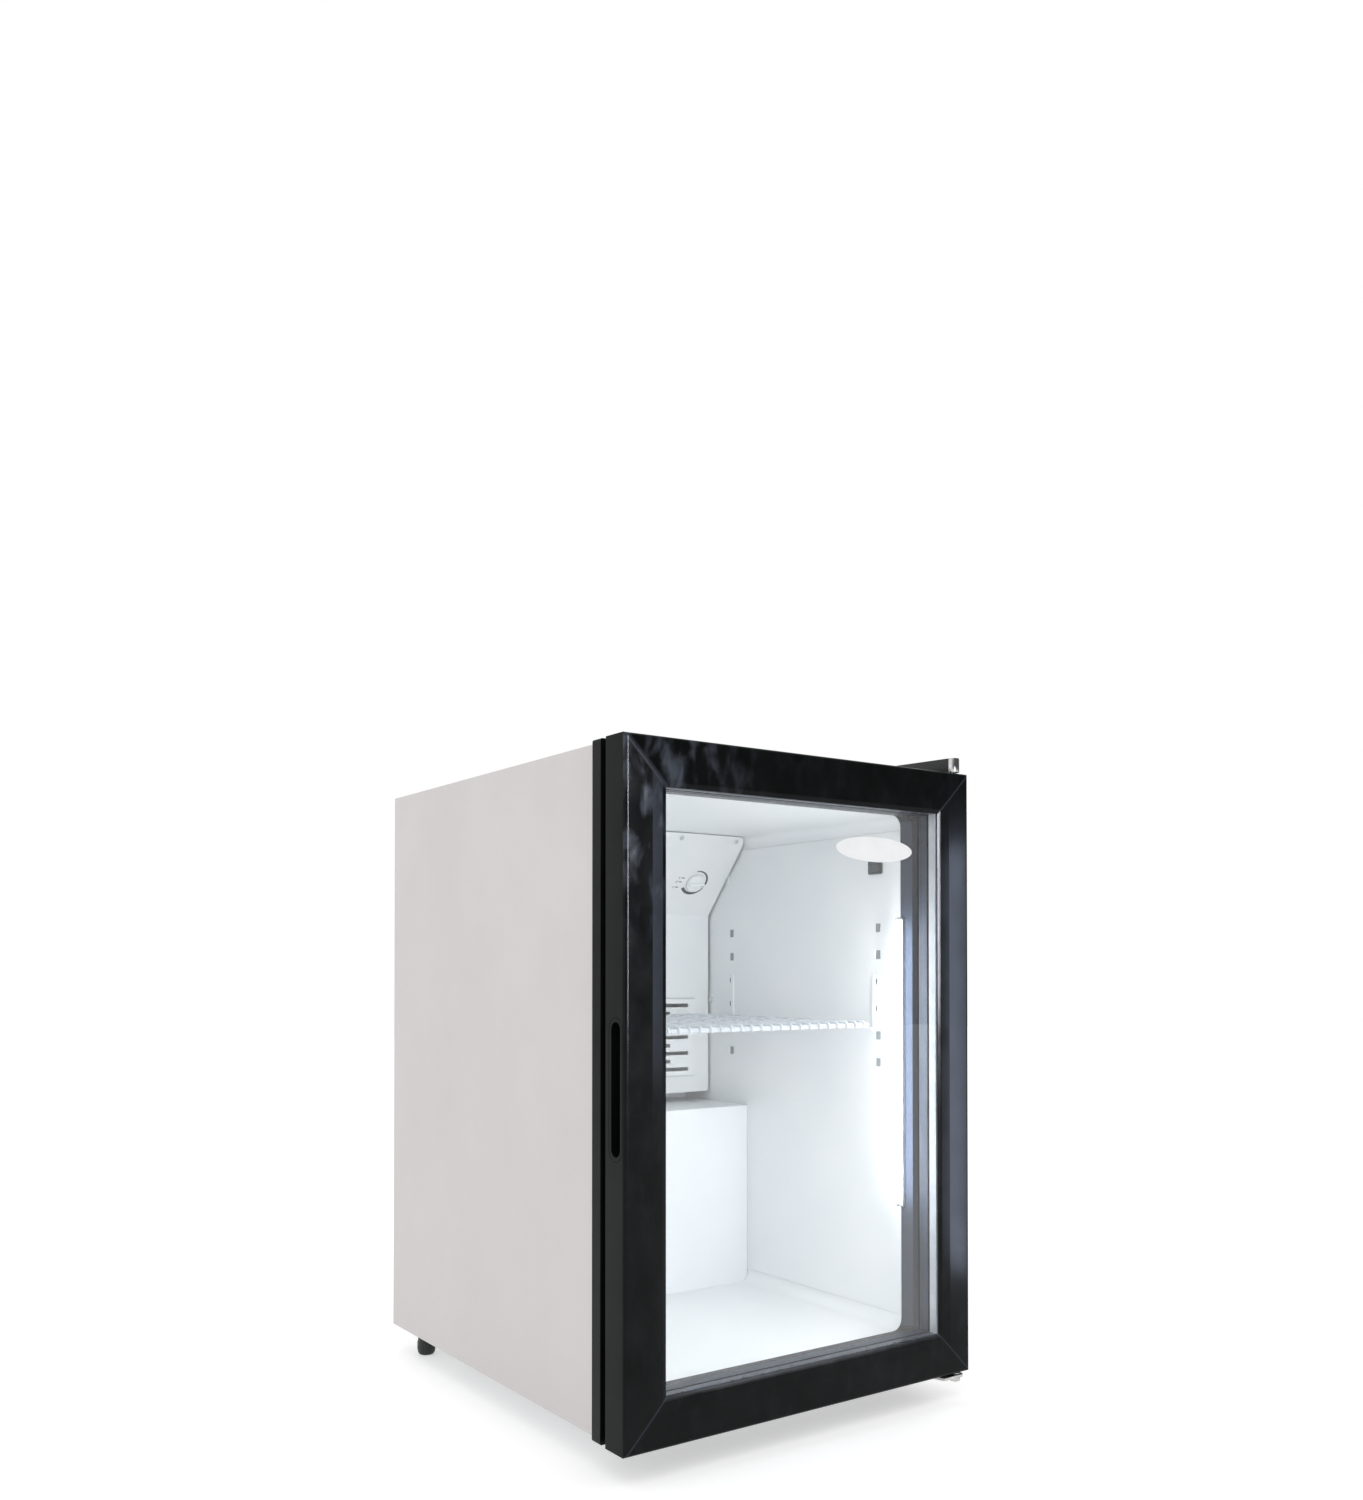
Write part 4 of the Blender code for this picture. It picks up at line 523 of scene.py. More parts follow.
for *ease, names in easedNodes:
    for node in names.split():
        forms[node] = putPiece(node + "_form", [shellOf(nodes[node].data)], node, ease=ease)
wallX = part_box("liner_right_wall")[0].x
floorTop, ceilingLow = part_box("liner_floor")[1].z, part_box("liner_ceiling")[0].z
doorX, doorBottom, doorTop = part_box("right_stile")[1].x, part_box("bottom_rail")[0].z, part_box("top_rail")[1].z
# the finger cup is as glossy as the door
forms["grip_cup"].data.materials[0] = finishes["frame_black"]["material"]
# behind the glass the door's members hold it with a bead
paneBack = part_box("rear_pane")[1].y
for node in ("left_stile", "right_stile", "top_rail", "bottom_rail"):
    member = forms[node].data
    centre, facing = meshArray(member.polygons, "center"), meshArray(member.polygons, "normal")
    inward = facing[0] * centre[0] + facing[2] * (centre[2] - (doorBottom + doorTop) / 2) < 0
    layFinish(member, "bead", inward & (centre[1] > paneBack) & (np.abs(facing[1]) < 0.5))
# the spacer's level bars lie in sealant; their dark colour is partly painted shade, standing for the shade that
# falls on the upper bar
shadedBarDeep, (barsLow, barsHigh) = 0.012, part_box("spacer_frame")
shadedBars = forms["spacer_frame"].data
level = meshArray(shadedBars.polygons, "center")[2]
layFinish(shadedBars, "sealant_and_shade", (level < barsLow.z + shadedBarDeep) | (level > barsHigh.z - shadedBarDeep))
# painted shade: a grey line on the cover round the raised grille, standing for the contact shadow at the grille's
# edge
grilleShadeLook = {"reach": (0.0, 0.0028), "share": 0.8, "tone": "B4BAC2"}
grilleShadedCover = makeFinish("coverGrilleShade", *finishLooks["white_plastic"][1:])
toneAround(grilleShadedCover, *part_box("air_grille"), **grilleShadeLook)
forms["evaporator_cover"].data.materials[0] = grilleShadedCover["material"]
# the front frame's inner edge is a grey strip that parts it from the cold liner
stripLook = {"reach": (0.0080, 0.0082), "share": 1.0, "tone": "373E4B"}
edged = makeFinish("edgedGlossBlack", *finishLooks["frame_black"][1:])
toneAround(edged, (-wallX, 0, floorTop), (wallX, 0, ceilingLow), **stripLook)
forms["front_frame"].data.materials[0] = edged["material"]
# panels that only show in the gloss of a few nodes
for name, kept in studioLook["kept"].items():
    group = bpy.data.collections.new(name + "Gloss")
    for node in kept.split():
        group.objects.link(forms[node])
    bpy.data.objects[name].light_linking.receiver_collection = group
# the round nose of the top hinge is plated
noseDeep, nose = 0.0068, forms["top_hinge_cover"].data
centre, facing = meshArray(nose.polygons, "center"), meshArray(nose.polygons, "normal")
plated = (centre[1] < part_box("top_hinge_cover")[0].y + noseDeep) & (np.abs(facing[2]) < 0.5)
layFinish(nose, "chrome", plated)
print("edges eased on", len(forms), "nodes")

# Soft seal: a foot on the door, a thin waist that folds, and a bulb that meets the cabinet
seal = {
    "inset": 0.019, "width": 0.018, "foot": 0.94, "waist": 0.42, "waistAt": (0.40, 0.13), "bulb": 0.55,
    "bulbFrom": 0.72, "rows": 15}
sealLow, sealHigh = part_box("door_gasket")
s = np.linspace(0, 1, seal["rows"])
pinch = np.exp(-((s - seal["waistAt"][0]) / seal["waistAt"][1]) ** 2)
half = seal["width"] / 2 * (seal["foot"] - seal["waist"] * pinch)
half *= np.sqrt(1 - seal["bulb"] * np.clip((s - seal["bulbFrom"]) / (1 - seal["bulbFrom"]), 0, 1) ** 2)
middle, depth = seal["inset"] + seal["width"] / 2, sealLow.y + s * (sealHigh.y - sealLow.y)
left, right = (np.column_stack([middle + side * half, depth]) for side in (-1, 1))
sealProfile = np.concatenate([left, right[::-1]])
sealRing = ringSweep(sealProfile, (-doorX, doorBottom), (doorX, doorTop))
putPiece("soft_seal", [sealRing], "door_gasket", "seal", sharp=50)
print("seal made")

# Lamp: a clear-topped gel ridge over a row of diodes
lampLow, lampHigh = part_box("lamp_lens")
lampShape = {"rise": 0.0019, "rows": 61, "columns": 15, "endMm": 24.0, "endWide": 0.3}
t = np.linspace(0, math.pi, lampShape["columns"])
along = lampLow.z + np.linspace(0, 1, lampShape["rows"]) * (lampHigh.z - lampLow.z)
toEnd = np.minimum(along - lampLow.z, lampHigh.z - along) * 1000
swell = np.sqrt(np.clip(1 - (1 - np.clip(toEnd / lampShape["endMm"], 0.02, 1)) ** 2, 0, 1))[:, None]
halfLamp, centreLamp = (lampHigh.y - lampLow.y) / 2, (lampHigh.y + lampLow.y) / 2
# p(s, t): height swell(s) * |sin t|^0.7 off the wall, width half * |cos t|^0.6, narrower at the ends
wide = np.sign(np.cos(t)) * np.abs(np.cos(t)) ** 0.6
wide = wide * (lampShape["endWide"] + (1 - lampShape["endWide"]) * swell)
tallLamp = lampHigh.x - lampLow.x + lampShape["rise"]
ridge = np.stack([lampHigh.x - tallLamp * swell * np.abs(np.sin(t)) ** 0.7,
                  centreLamp + halfLamp * wide, np.repeat(along[:, None], len(t), axis=1)], -1)
putPiece("lamp_ridge", [(ridge, tubeFaces(len(along), len(t)))], "lamp_lens")
print("lamp made")

# Shelf: a ring of rod, two cross rods, and wires whose front ends turn down over the ring
shelf = {"rod": 0.0025, "wire": 0.0015, "bite": 0.0006, "wires": 24, "corner": 0.012, "hookDrop": 0.0022}
shelfLow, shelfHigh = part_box("wire_shelf")
rod, wire = shelf["rod"], shelf["wire"]
side, near, far = shelfHigh.x - rod, shelfLow.y + rod, shelfHigh.y - rod
level = shelfLow.z + rod
ring = softBox(2 * side, far - near, shelf["corner"], 8) + np.array([0, (near + far) / 2])
shelfShells = [roundBar(np.column_stack([ring, np.full(len(ring), level)]), rod, 14, closed=True)]
for y in (near + (far - near) / 3, far - (far - near) / 3):
    shelfShells.append(roundBar([(-side, y, level), (0, y, level), (side, y, level)], rod, 14))
reach = rod + wire - shelf["bite"]
a = np.linspace(math.pi / 2, math.pi, 8)
over = np.column_stack([near + reach * np.cos(a), level + reach * np.sin(a)])
over = np.concatenate([[(far + rod / 2, level + reach), ((near + far) / 2, level + reach)], over,
                       [(near - reach, level - shelf["hookDrop"])]])
pitch = 2 * side / (shelf["wires"] + 1)
for x in (np.arange(shelf["wires"]) - (shelf["wires"] - 1) / 2) * pitch:
    shelfShells.append(roundBar(np.column_stack([np.full(len(over), x), over]), wire, 10))
putPiece("dipped_shelf", shelfShells, "wire_shelf")
print("shelf made")

# Dial on the slanted cover: knob with a finger bar, printed crescent, marks and plain numbers
dial = {
    "place": (0.1215, 0.101144, 0.554466), "radius": 0.0125, "bar": (0.0237, 0.0062), "barTop": 0.0085,
    "pointer": (0.0040, 0.0098, 0.0004),
    "crescent": (212, 462), "ring": 0.0170, "thick": 0.0021, "thin": 0.0008, "steps": 60,
    "marks": [(-0.0205, 0.0058, "3"), (-0.0222, -0.0002, "2"), (-0.0240, -0.0085, "1")],
    "mark": (0.0026, 0.0006), "number": 0.0050, "numberShift": (-0.0066, -0.0017), "film": 0.0001}
dialPlace = np.array(dial["place"])
dialAxes = np.array([(1, 0, 0), (0, -0.651645, 0.758524), (0, -0.758524, -0.651645)])
r, film, top = dial["radius"], dial["film"], dial["barTop"]
rim = [(0.0, 0.0050), (0.70 * r, 0.0050), (0.86 * r, 0.0048), (0.95 * r, 0.0043), (0.99 * r, 0.0036, 1),
       (r, 0.0028, 1), (r, 0.0012, 1), (0.98 * r, 0.0008), (0.003, 0.0008), (0.003, -0.0123), (0.0, -0.0123)]
t = fullTurn(48)
# p(h, t): half sizes less an inset that grows towards the top, on a squared circle |cos t|^0.5, |sin t|^0.5
inset = np.array([0, 0, 0.0003, 0.0009, 0.0017])[:, None]
height = np.array([0.003, top - 0.0016, top - 0.0007, top - 0.0002, top])
half = np.array(dial["bar"]) / 2
bar = np.stack([(half[0] - inset) * np.sign(np.cos(t)) * np.abs(np.cos(t)) ** 0.5,
                (half[1] - inset) * np.sign(np.sin(t)) * np.abs(np.sin(t)) ** 0.5,
                np.repeat(height[:, None], len(t), axis=1)], -1)
grip = (dialPlace + bar @ dialAxes, tubeFaces(len(height), len(t)))
putPiece("dial_knob", [lathed(rim, dialPlace, dialAxes, 96, 24, 0.0002), grip], "thermostat_knob", sharp=35)


def stroke(start, end, y, half, place=dialPlace):
    # straight line of ink on the dial's plane
    below, above = ([(start, y + side * half), (end, y + side * half)] for side in (-1, 1))
    return filmStrip(below, above, film, place, dialAxes)


start, end, half = dial["pointer"]
pointer = stroke(start, end, 0, half, dialPlace + np.array([0, 0, top - 0.00002]) @ dialAxes)
putPiece("knob_pointer", [pointer], None, "ink", "knob", "black_plastic")
a = np.radians(np.linspace(*dial["crescent"], dial["steps"]))
ray = np.column_stack([np.cos(a), np.sin(a)])
thick = dial["thin"] + (dial["thick"] - dial["thin"]) * np.linspace(1, 0, dial["steps"])[:, None] ** 0.9
ring = dial["ring"]
printShells = [filmStrip(ray * (ring - thick), ray * (ring + thick), film, dialPlace, dialAxes)]
half, thin = dial["mark"]
for x, y, number in dial["marks"]:
    printShells.append(stroke(x - half, x + half, y, thin))
    letter = bpy.data.curves.new("dialNumber", "FONT")
    letter.body, letter.size, letter.extrude = number, dial["number"], film / 2
    holder = bpy.data.objects.new("dialNumber", letter)
    corners, faces = shellOf(holder.to_mesh())
    shift = np.array([x, y, film / 2]) + np.array([*dial["numberShift"], 0])
    printShells.append((dialPlace + (corners + shift) @ dialAxes, faces))
    bpy.data.objects.remove(holder)
putPiece("dial_print", printShells, None, "ink", slot="black_plastic")
print("dial made")

# Cover screws: along the top edge, and on two ears at each side that lie on the wall
screw = {
    "head": 0.0031, "rise": 0.0017, "topX": (-0.154, -0.072, 0.072, 0.154), "below": 0.0065,
    "ears": [(0.0985, 0.5600, 0.0125, 0.0115), (0.1330, 0.4090, 0.0115, 0.0105)], "earDeep": 0.0012,
    "earCorner": 0.0045, "earGap": 0.0002, "aside": 0.0006}
coverLow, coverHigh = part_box("evaporator_cover")
head, earFoot = (screw["head"], screw["rise"]), wallX - screw["earGap"]
wallAxes = {sign: np.array([(0, 1, 0), (0, 0, 1), (-sign, 0, 0)]) for sign in (-1, 1)}
screwShells, earShells = [], []
for x in screw["topX"]:
    edge = np.array([x, coverLow.y, coverHigh.z - 0.001]) - screw["below"] * dialAxes[1]
    screwShells.append(screwHead(*head, edge, dialAxes, 0.3 + 9 * x))
for sign, axes in wallAxes.items():
    for y, z, width, tall in screw["ears"]:
        ear = softBox(width, tall, screw["earCorner"])
        earShells.append(slab(ear, 0, screw["earDeep"], (sign * earFoot, y, z), axes))
        place = (sign * (earFoot - screw["earDeep"]), y - screw["aside"], z)
        screwShells.append(screwHead(*head, place, axes, 0.5 + 3 * y))
putPiece("cover_screws", screwShells, None, "screw", slot="chrome", sharp=30)
putPiece("cover_ears", earShells, slot="white_plastic", ease=(0.35, 2, 40))
print("screws set")

# Shelf slots and clip keyholes as grey films: painted shade for the hollow behind each slot and for each keyhole
slots = {
    "rows": 6, "pitch": 0.0293, "size": (0.0079, 0.0094), "corner": 0.0004, "shade_film": 0.0002, "lowest": 0.345,
    "sunk": 0.0011, "clipRows": (2, 3), "clipFace": 0.0028, "keyhole": (0.0016, 0.0062), "keyCorner": 0.0007,
    "keyFilm": 0.00012, "keyAside": 0.001}
slotShape = softBox(*slots["size"], slots["corner"], 3)
keyShape = softBox(*slots["keyhole"], slots["keyCorner"], 4)
shadeFilmX, keyX = wallX + slots["sunk"] + slots["shade_film"], wallX - slots["clipFace"]
slotShadeShells, keyholeShadeShells = [], []
for sign, axes in wallAxes.items():
    for column in ("front", "rear"):
        clipLow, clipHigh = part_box(column + "_right_shelf_clip")
        y = (clipLow.y + clipHigh.y) / 2
        for row in range(slots["rows"]):
            z = slots["lowest"] + row * slots["pitch"]
            # painted shade: a grey film sunk in the slot
            slotShadeShells.append(slab(slotShape, 0, slots["shade_film"], (sign * shadeFilmX, y, z), axes))
            if row in slots["clipRows"]:
                # painted shade: a dark grey film on the clip's face where its keyhole is
                place = (sign * keyX, y - slots["keyAside"], z)
                keyholeShadeShells.append(slab(keyShape, 0, slots["keyFilm"], place, axes))
putPiece("slot_tape", slotShadeShells, None, "shade_film", slot="switch_grey")
putPiece("clip_keyholes", keyholeShadeShells, slot="switch_grey")
print("slots and clips finished")

# Feet: moulded levelling feet with a fluted skirt
feet = {"flutes": 18, "flute": 0.02}
for foot in ("front_left", "front_right", "rear_left", "rear_right"):
    low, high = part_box(foot + "_foot")
    r, tall, middle = (high.x - low.x) / 2, high.z, (low + high) / 2
    profile = [
        (0, tall), (0.86 * r, tall), (0.90 * r, tall - 0.0008), (0.92 * r, 0.62 * tall),
        (0.97 * r, 0.56 * tall), (0.98 * r, 0.52 * tall, 1), (0.98 * r, 0.24 * tall, 1),
        (0.97 * r, 0.20 * tall), (0.93 * r, 0.10 * tall), (0.82 * r, 0.03 * tall), (0.70 * r, 0), (0, 0)]
    skirt = lathed(profile, (middle.x, middle.y, 0), sides=72, flutes=feet["flutes"], depth=feet["flute"] * r)
    putPiece(foot + "_levelling_foot", [skirt], foot + "_foot", sharp=35)
print("feet made")

# Bottom hinge: pin with a collar above the plate, a washer and a six-sided nut under it
pinLow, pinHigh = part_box("bottom_hinge_pin")
pin = {"pin": 0.0030, "collar": 0.0055, "nut": 0.0062, "nutTall": 0.0050, "bulge": 0.00032, "lift": 0.0018}
middle, plate, nut = (pinLow + pinHigh) / 2, doorBottom - pin["lift"], pinLow.z + pin["nutTall"]
pinR, collarR, nutR = pin["pin"], pin["collar"], pin["nut"]
pinProfile = [
    (0, pinHigh.z), (pinR - 0.0006, pinHigh.z), (pinR, pinHigh.z - 0.0006), (pinR, plate + 0.0015),
    (collarR - 0.0003, plate + 0.0015), (collarR, plate + 0.0012), (collarR, plate + 0.0006),
    (collarR - 0.0003, plate + 0.0003), (pinR, plate + 0.0003), (pinR, nut), (nutR, nut),
    (nutR + 0.0002, nut - 0.0003), (nutR, nut - 0.0007), (nutR - 0.0008, nut - 0.0007, 1),
    (nutR - 0.0008, nut - 0.0038, 1), (nutR - 0.0018, nut - 0.0044, 0.5), (pinR, nut - 0.0045),
    (pinR - 0.0004, nut - 0.0050), (0, nut - 0.0050)]
pinAndNut = lathed(pinProfile, (middle.x, middle.y, 0), sides=72, flutes=6, depth=pin["bulge"])
putPiece("hinge_pin_nut", [pinAndNut], "bottom_hinge_pin", sharp=28)
print("hinge pin made")

# Compressor: two pressed halves welded at a seam, on a foot plate
potLow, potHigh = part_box("compressor")
pot = {"radius": 0.060, "seam": 0.0634, "plate": 0.0025, "plateLift": 0.006, "corner": 0.012}
potX, potY = (potLow.x + potHigh.x) / 2, (potLow.y + potHigh.y) / 2
potTall, r = potHigh.z - potLow.z, pot["radius"]
# radius and height: dome r cos^0.62, seam r + bulge cos^0.5, bowl r cos^0.55, each against the sine
up = np.linspace(0, 1, 15) * math.pi / 2
dome = np.column_stack([r * np.cos(up[::-1]) ** 0.62, potTall * (0.66 + 0.34 * np.sin(up[::-1]))])
bowl = np.column_stack([r * np.cos(up) ** 0.55, potTall * (0.22 - 0.22 * np.sin(up))])
roll = np.linspace(-math.pi / 2, math.pi / 2, 9)[::-1]
seam = np.column_stack([r + (pot["seam"] - r) * np.cos(roll) ** 0.5, potTall * (0.54 + 0.020 * np.sin(roll))])
potProfile = np.concatenate([dome, [(r, potTall * 0.60)], seam, [(r, potTall * 0.40)], bowl])
potPlate = softBox(potHigh.x - potLow.x, potHigh.y - potLow.y, pot["corner"], 6)
plateZ = potLow.z + pot["plateLift"]
putPiece("compressor_pot", [lathed(potProfile, (potX, potY, potLow.z), sides=96),
                            slab(potPlate, plateZ, plateZ + pot["plate"], (potX, potY, 0))],
         "compressor", sharp=35)
# rubber feet: barrel r(h) = r (1 - 0.2 exp(-((h - 0.5) / 0.16)^2)) under a stud
stud = {"radius": 0.0034, "tall": 0.004, "edge": 0.0004, "rim": 0.0008}
for i in range(1, 5):
    grommet = f"compressor_grommet_{i}"
    low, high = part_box(grommet)
    r, tall, middle = (high.x - low.x) / 2, high.z - low.z - stud["tall"], (low + high) / 2
    h = np.linspace(0, 1, 13)
    barrel = np.column_stack([r * (1 - 0.2 * np.exp(-((h - 0.5) / 0.16) ** 2)), low.z + tall * h])[::-1]
    top = [
        (0, high.z), (stud["radius"] - stud["edge"], high.z), (stud["radius"], high.z - stud["edge"]),
        (stud["radius"], low.z + tall), (r - stud["rim"], low.z + tall)]
    profile = np.concatenate([top, barrel, [(0, low.z)]])
    putPiece(f"rubber_foot_{i}", [lathed(profile, (middle.x, middle.y, 0))], grommet, sharp=35)
print("compressor made")

# Pipework: suction and discharge tubes, filter drier with its capillary, wire-and-tube condenser
pipe = {
    "bend": 0.012, "suction": 0.004, "discharge": 0.003, "suctionOut": 0.026, "dischargeOut": 0.028, "aim": 40,
    "suctionUp": 0.65, "dischargeUp": 0.34, "collar": 0.0011, "riserX": 0.185, "riserEnd": 0.173,
    "backY": 0.26155, "nicheTop": 0.243, "gap": 0.0003}
riserX, backY = pipe["riserX"], pipe["backY"]
out, nicheEnd = pot["radius"] + pipe["gap"], pipe["nicheTop"] - pipe["gap"]
turnX, level = potX + pot["radius"] + pipe["suctionOut"], potLow.z + pipe["suctionUp"] * potTall
suction = easedPath([(potX + out, potY, level), (turnX, potY, level), (turnX, potY, nicheEnd)], pipe["bend"])
collar = [(potX + out + step, potY, level) for step in (0, 0.006, 0.010)]
putPiece("suction_pipe", [roundBar(suction, pipe["suction"], 20),
                          roundBar(collar, pipe["suction"] + pipe["collar"], 24)], "suction_tube")
level, turn = potLow.z + pipe["dischargeUp"] * potTall, math.radians(pipe["aim"])
ports = [(potX + math.cos(turn) * reach, potY + math.sin(turn) * reach, level)
         for reach in (out, out + pipe["dischargeOut"])]
riser = [(riserX, ports[1][1], level), (riserX, backY, level), (riserX, backY, pipe["riserEnd"] - pipe["gap"])]
discharge = roundBar(easedPath(ports + riser, pipe["bend"]), pipe["discharge"], 18)
putPiece("discharge_pipe", [discharge], "discharge_tube")
drier = {"x": -0.180, "y": 0.21955, "top": 0.183, "length": 0.095, "radius": 0.0095, "neck": 0.0024,
         "capillary": 0.0012, "loop": 0.018, "aside": 0.025, "bend": 0.010}
x, y, r, neck, foot = drier["x"], drier["y"], drier["radius"], drier["neck"], -drier["length"]
drierProfile = [
    (0, 0), (neck, 0), (neck + 0.0002, -0.010), (neck + 0.0010, -0.0125), (r - 0.0012, -0.0165), (r, -0.0190),
    (r, -0.0260), (r - 0.0007, -0.0268), (r - 0.0007, -0.0280), (r, -0.0288), (r, 0.016 + foot),
    (r - 0.0015, 0.0125 + foot), (0.0042, 0.003 + foot), (0.003, foot), (0, foot)]
low = drier["top"] - drier["length"]
tail = [(x, y, low + 0.004), (x, y, low - drier["loop"]), (x + drier["aside"], y, low - drier["loop"]),
        (x + drier["aside"], y, nicheEnd)]
putPiece("drier_and_capillary", [lathed(drierProfile, (x, y, drier["top"]), sides=40),
                                 roundBar(easedPath(tail, drier["bend"]), drier["capillary"], 12)],
         "filter_drier", sharp=35)
grid = {
    "passes": 9, "tube": 0.0024, "wire": 0.0008, "wires": 43, "top": 0.594, "bottom": 0.288, "half": 0.159975,
    "over": 0.012, "inset": 0.010, "bite": 0.0006, "tab": (0.012, 0.007), "tabCorner": 0.0025, "tabAt": 0.72,
    "drop": 0.030}
alongY = [(1, 0, 0), (0, 0, 1), (0, 1, 0)]
pitch = (grid["top"] - grid["bottom"]) / (grid["passes"] - 1)
winding = serpentine(grid["passes"], grid["top"], pitch, grid["half"], backY, -1)
inlet = easedPath([(riserX, backY, pipe["riserEnd"]), (riserX, backY, grid["top"]), winding[0]], pipe["bend"])
dropZ = pipe["nicheTop"] - grid["drop"]
outlet = easedPath([winding[-1], (x, backY, grid["bottom"]), (x, backY, dropZ), (x, y, dropZ - pipe["bend"]),
                    (x, y, drier["top"] + pipe["gap"])], pipe["bend"] / 2)
gridShells = [roundBar(np.concatenate([inlet[:-1], winding, outlet[1:]]), grid["tube"], 14)]
for wireY in (backY + face * (grid["tube"] + grid["wire"] - grid["bite"]) for face in (-1, 1)):
    for wireX in np.linspace(-1, 1, grid["wires"]) * (grid["half"] - grid["inset"]):
        gridShells.append(roundBar([(wireX, wireY, grid["bottom"] - grid["over"]),
                                    (wireX, wireY, grid["top"] + grid["over"])], grid["wire"], 8))
tab, tabLow = softBox(*grid["tab"], grid["tabCorner"]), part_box("back_panel")[1].y + pipe["gap"]
for row in (1, grid["passes"] - 2):
    for hand in (-1, 1):
        place = (hand * grid["half"] * grid["tabAt"], 0, grid["top"] - row * pitch)
        gridShells.append(slab(tab, tabLow, backY, place, alongY))
putPiece("condenser_grid", gridShells, "condenser")
print("pipework made")

# Fan: hub and blades that twist from root to tip
fan = {
    "hub": 0.016, "tip": 0.036, "blades": 7, "chord": 0.62, "flare": (0.85, 0.25), "rise": 0.0105,
    "camber": 0.0016, "thick": 0.0012, "twist": 0.35, "shaft": 0.0020, "hubTall": 0.0155, "bladeAt": 0.0085}
fanLow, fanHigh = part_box("fan_rotor")
fanZ, fanTall, hub = (fanLow.z + fanHigh.z) / 2, fanHigh.y - fanLow.y, fan["hub"]
hubProfile = [
    (0, 0), (hub - 0.002, 0), (hub - 0.0005, 0.0006), (hub, 0.002), (hub, fan["hubTall"]),
    (fan["shaft"], fan["hubTall"]), (fan["shaft"], fanTall), (0, fanTall)]
fanShells = [lathed(hubProfile, (0, fanLow.y, fanZ), alongY)]
radius, chord = np.meshgrid(np.linspace(hub - 0.001, fan["tip"], 9), np.linspace(-0.5, 0.5, 11), indexing="ij")
share = (radius - radius.min()) / np.ptp(radius)
rows, columns = radius.shape
faces = np.array(gridFaces(rows, columns))
edge = np.concatenate([np.arange(columns - 1), columns * np.arange(1, rows) - 1,
                       rows * columns - 1 - np.arange(columns - 1), columns * np.arange(rows - 1, 0, -1)])
edge = np.array(list(dict.fromkeys(edge.tolist())))
band = np.stack([edge, np.roll(edge, -1), np.roll(edge, -1) + rows * columns, edge + rows * columns], -1)
bladeFaces = np.concatenate([faces, faces[:, ::-1] + rows * columns, band]).tolist()
for turn in np.arange(fan["blades"]) * 2 * math.pi / fan["blades"]:
    # p(r, c): angle = turn + chord angle * c, depth = rise * c * (1 - twist * share), cambered by c squared
    a = turn + fan["chord"] * chord * (fan["flare"][0] + fan["flare"][1] * share)
    y = fanLow.y + fan["bladeAt"] + fan["rise"] * chord * (1 - fan["twist"] * share)
    y += fan["camber"] * (0.25 - chord ** 2)
    sheets = [np.stack([radius * np.cos(a), y + lift, fanZ + radius * np.sin(a)], -1).reshape(-1, 3)
              for lift in (0, fan["thick"])]
    fanShells.append((np.concatenate(sheets), bladeFaces))
putPiece("fan_blades_and_hub", fanShells, "fan_rotor", sharp=35)
print("fan made")

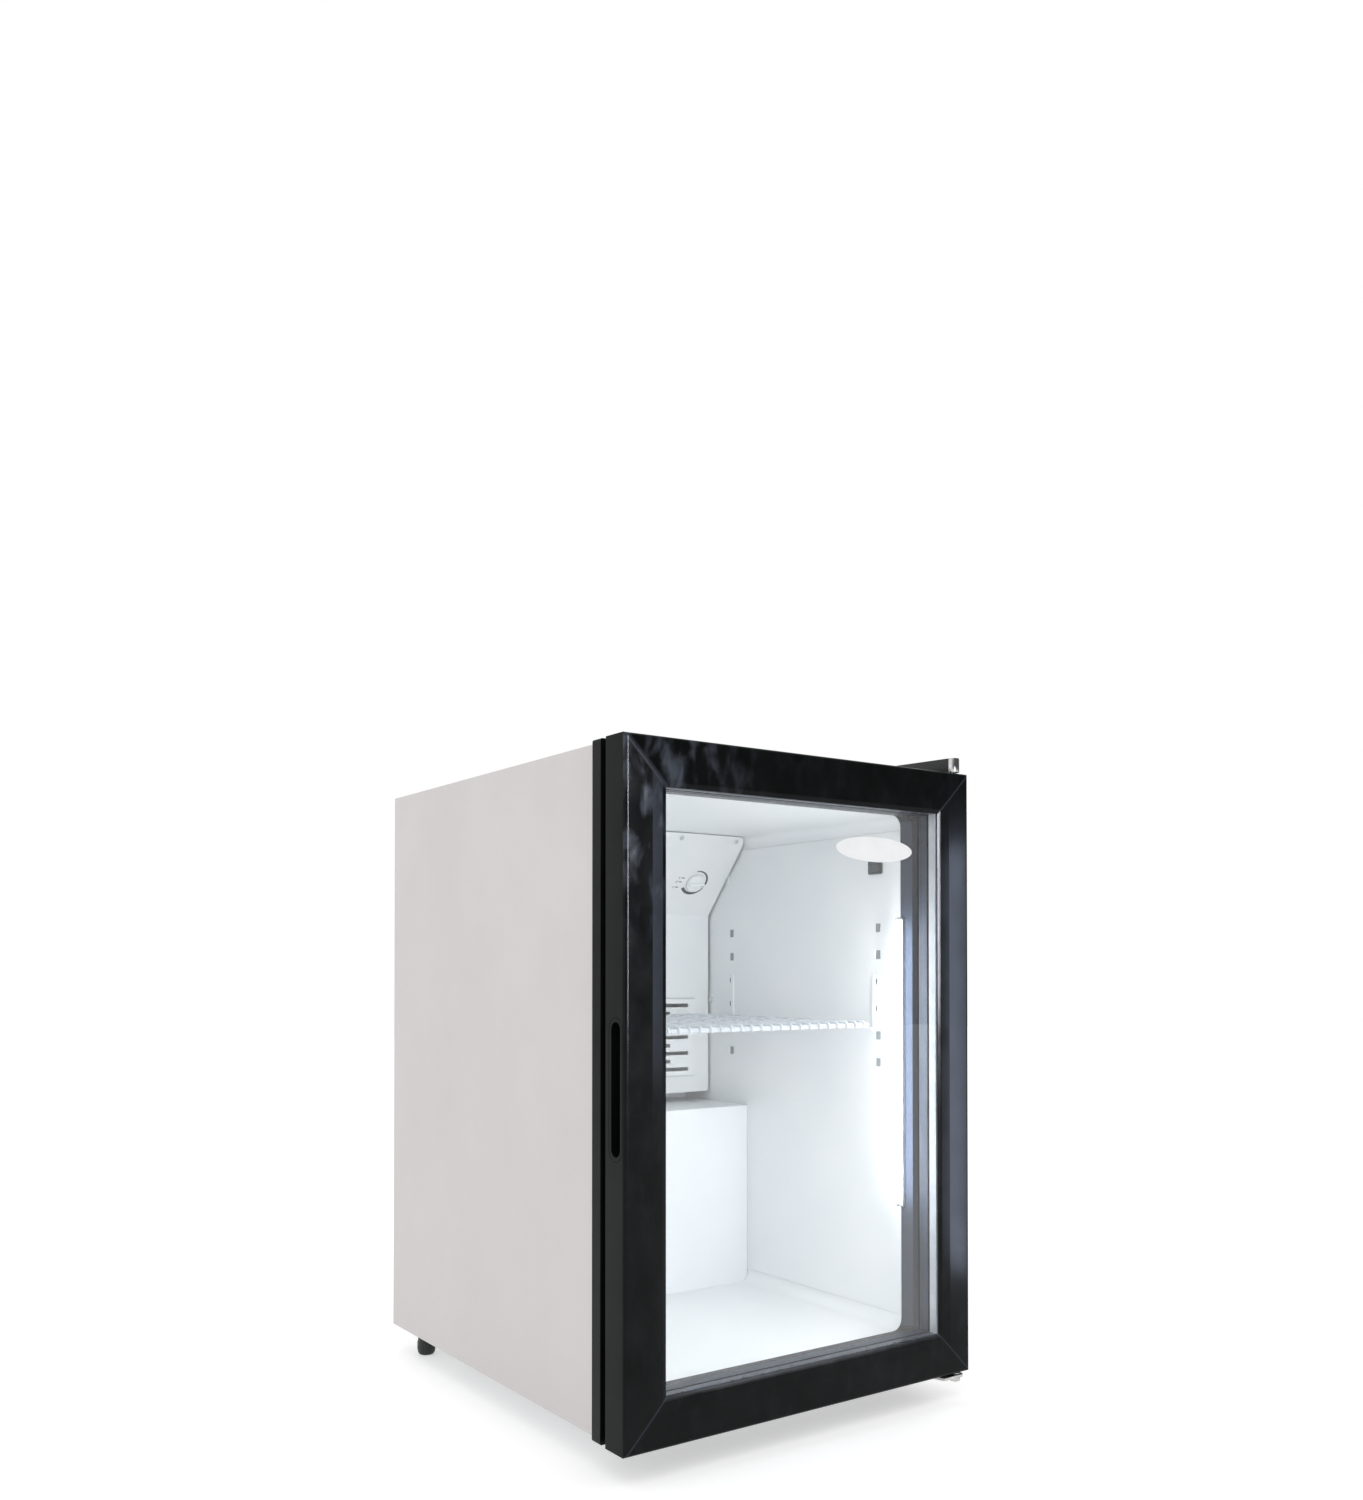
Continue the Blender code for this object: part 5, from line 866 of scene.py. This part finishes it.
# Evaporator: thin fins on a tube that runs back and forth
coil = {
    "half": 0.115, "fins": 56, "fin": 0.0003, "finDeep": 0.022, "finCorner": 0.0015, "tube": 0.004, "passes": 5,
    "reach": 0.008, "backGap": 0.0003, "stepGap": 0.030, "ceilingGap": 0.0625}
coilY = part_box("liner_back_wall")[0].y - coil["backGap"] - coil["finDeep"] / 2
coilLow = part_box("liner_step")[1].z + coil["stepGap"]
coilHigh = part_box("liner_ceiling")[1].z - coil["ceilingGap"]
fin, coilShells = softBox(coil["finDeep"], coilHigh - coilLow, coil["finCorner"], 2), []
for x in np.linspace(-1, 1, coil["fins"]) * (coil["half"] - coil["fin"]):
    coilShells.append(slab(fin, -coil["fin"] / 2, coil["fin"] / 2, (x, coilY, (coilHigh + coilLow) / 2),
                           [(0, 1, 0), (0, 0, 1), (1, 0, 0)]))
pitch = (coilHigh - coilLow) / coil["passes"]
winding = serpentine(coil["passes"], coilHigh - pitch / 2, pitch, coil["half"] + coil["reach"], coilY, 1)
coilShells.append(roundBar(winding, coil["tube"], 16))
putPiece("finned_coil", coilShells, "evaporator_coil", sharp=35)
print("evaporator made")

# Bare oval sign on the outside of the glass
badge = {"centre": (0.0827, 0.5655), "size": (0.1033, 0.025), "film": 0.00015}
a = fullTurn(72)
oval = np.column_stack([np.cos(a), np.sin(a)]) * np.array(badge["size"]) / 2
signPlace = (badge["centre"][0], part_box("front_pane")[0].y, badge["centre"][1])
sign = slab(oval, 0, badge["film"], signPlace, [(1, 0, 0), (0, 0, 1), (0, -1, 0)])
putPiece("glass_sign", [sign], None, "sign", "door", "white_plastic")
print("sign on the glass")

# Floor: the camera sees a little more than the light that falls on it, so only the shadow is less than white
ground = {"half": 7.0, "cells": 9, "lift": 0.46}
tree = finishes["floor"]["tree"]
rays = addNode(tree, "LightPath").outputs
gaze = addNode(tree, "Math", rays["Is Camera Ray"], rays["Is Transmission Ray"], operation="MAXIMUM")
mirror = addNode(tree, "Math", gaze, rays["Is Glossy Ray"], operation="MAXIMUM")
lift = addNode(tree, "Math", mirror, ground["lift"], operation="MULTIPLY")
glow = addNode(tree, "Emission", pureWhite, lift)
both = addNode(tree, "AddShader", finishes["floor"]["shader"], glow)
tree.links.new(both.outputs[0], tree.nodes["Material Output"].inputs["Surface"])
cells = ground["cells"]
u, v = np.meshgrid(np.linspace(-1, 1, cells), np.linspace(-1, 1, cells))
floorMesh = bpy.data.meshes.new("paleFloor")
floorPoints = np.stack([u, v, 0 * u], -1).reshape(-1, 3) * ground["half"]
floorMesh.from_pydata(floorPoints.tolist(), [], gridFaces(cells, cells))
floorMesh.materials.append(finishes["floor"]["material"])
floor = putObject("paleFloor", floorMesh)
print("floor laid")
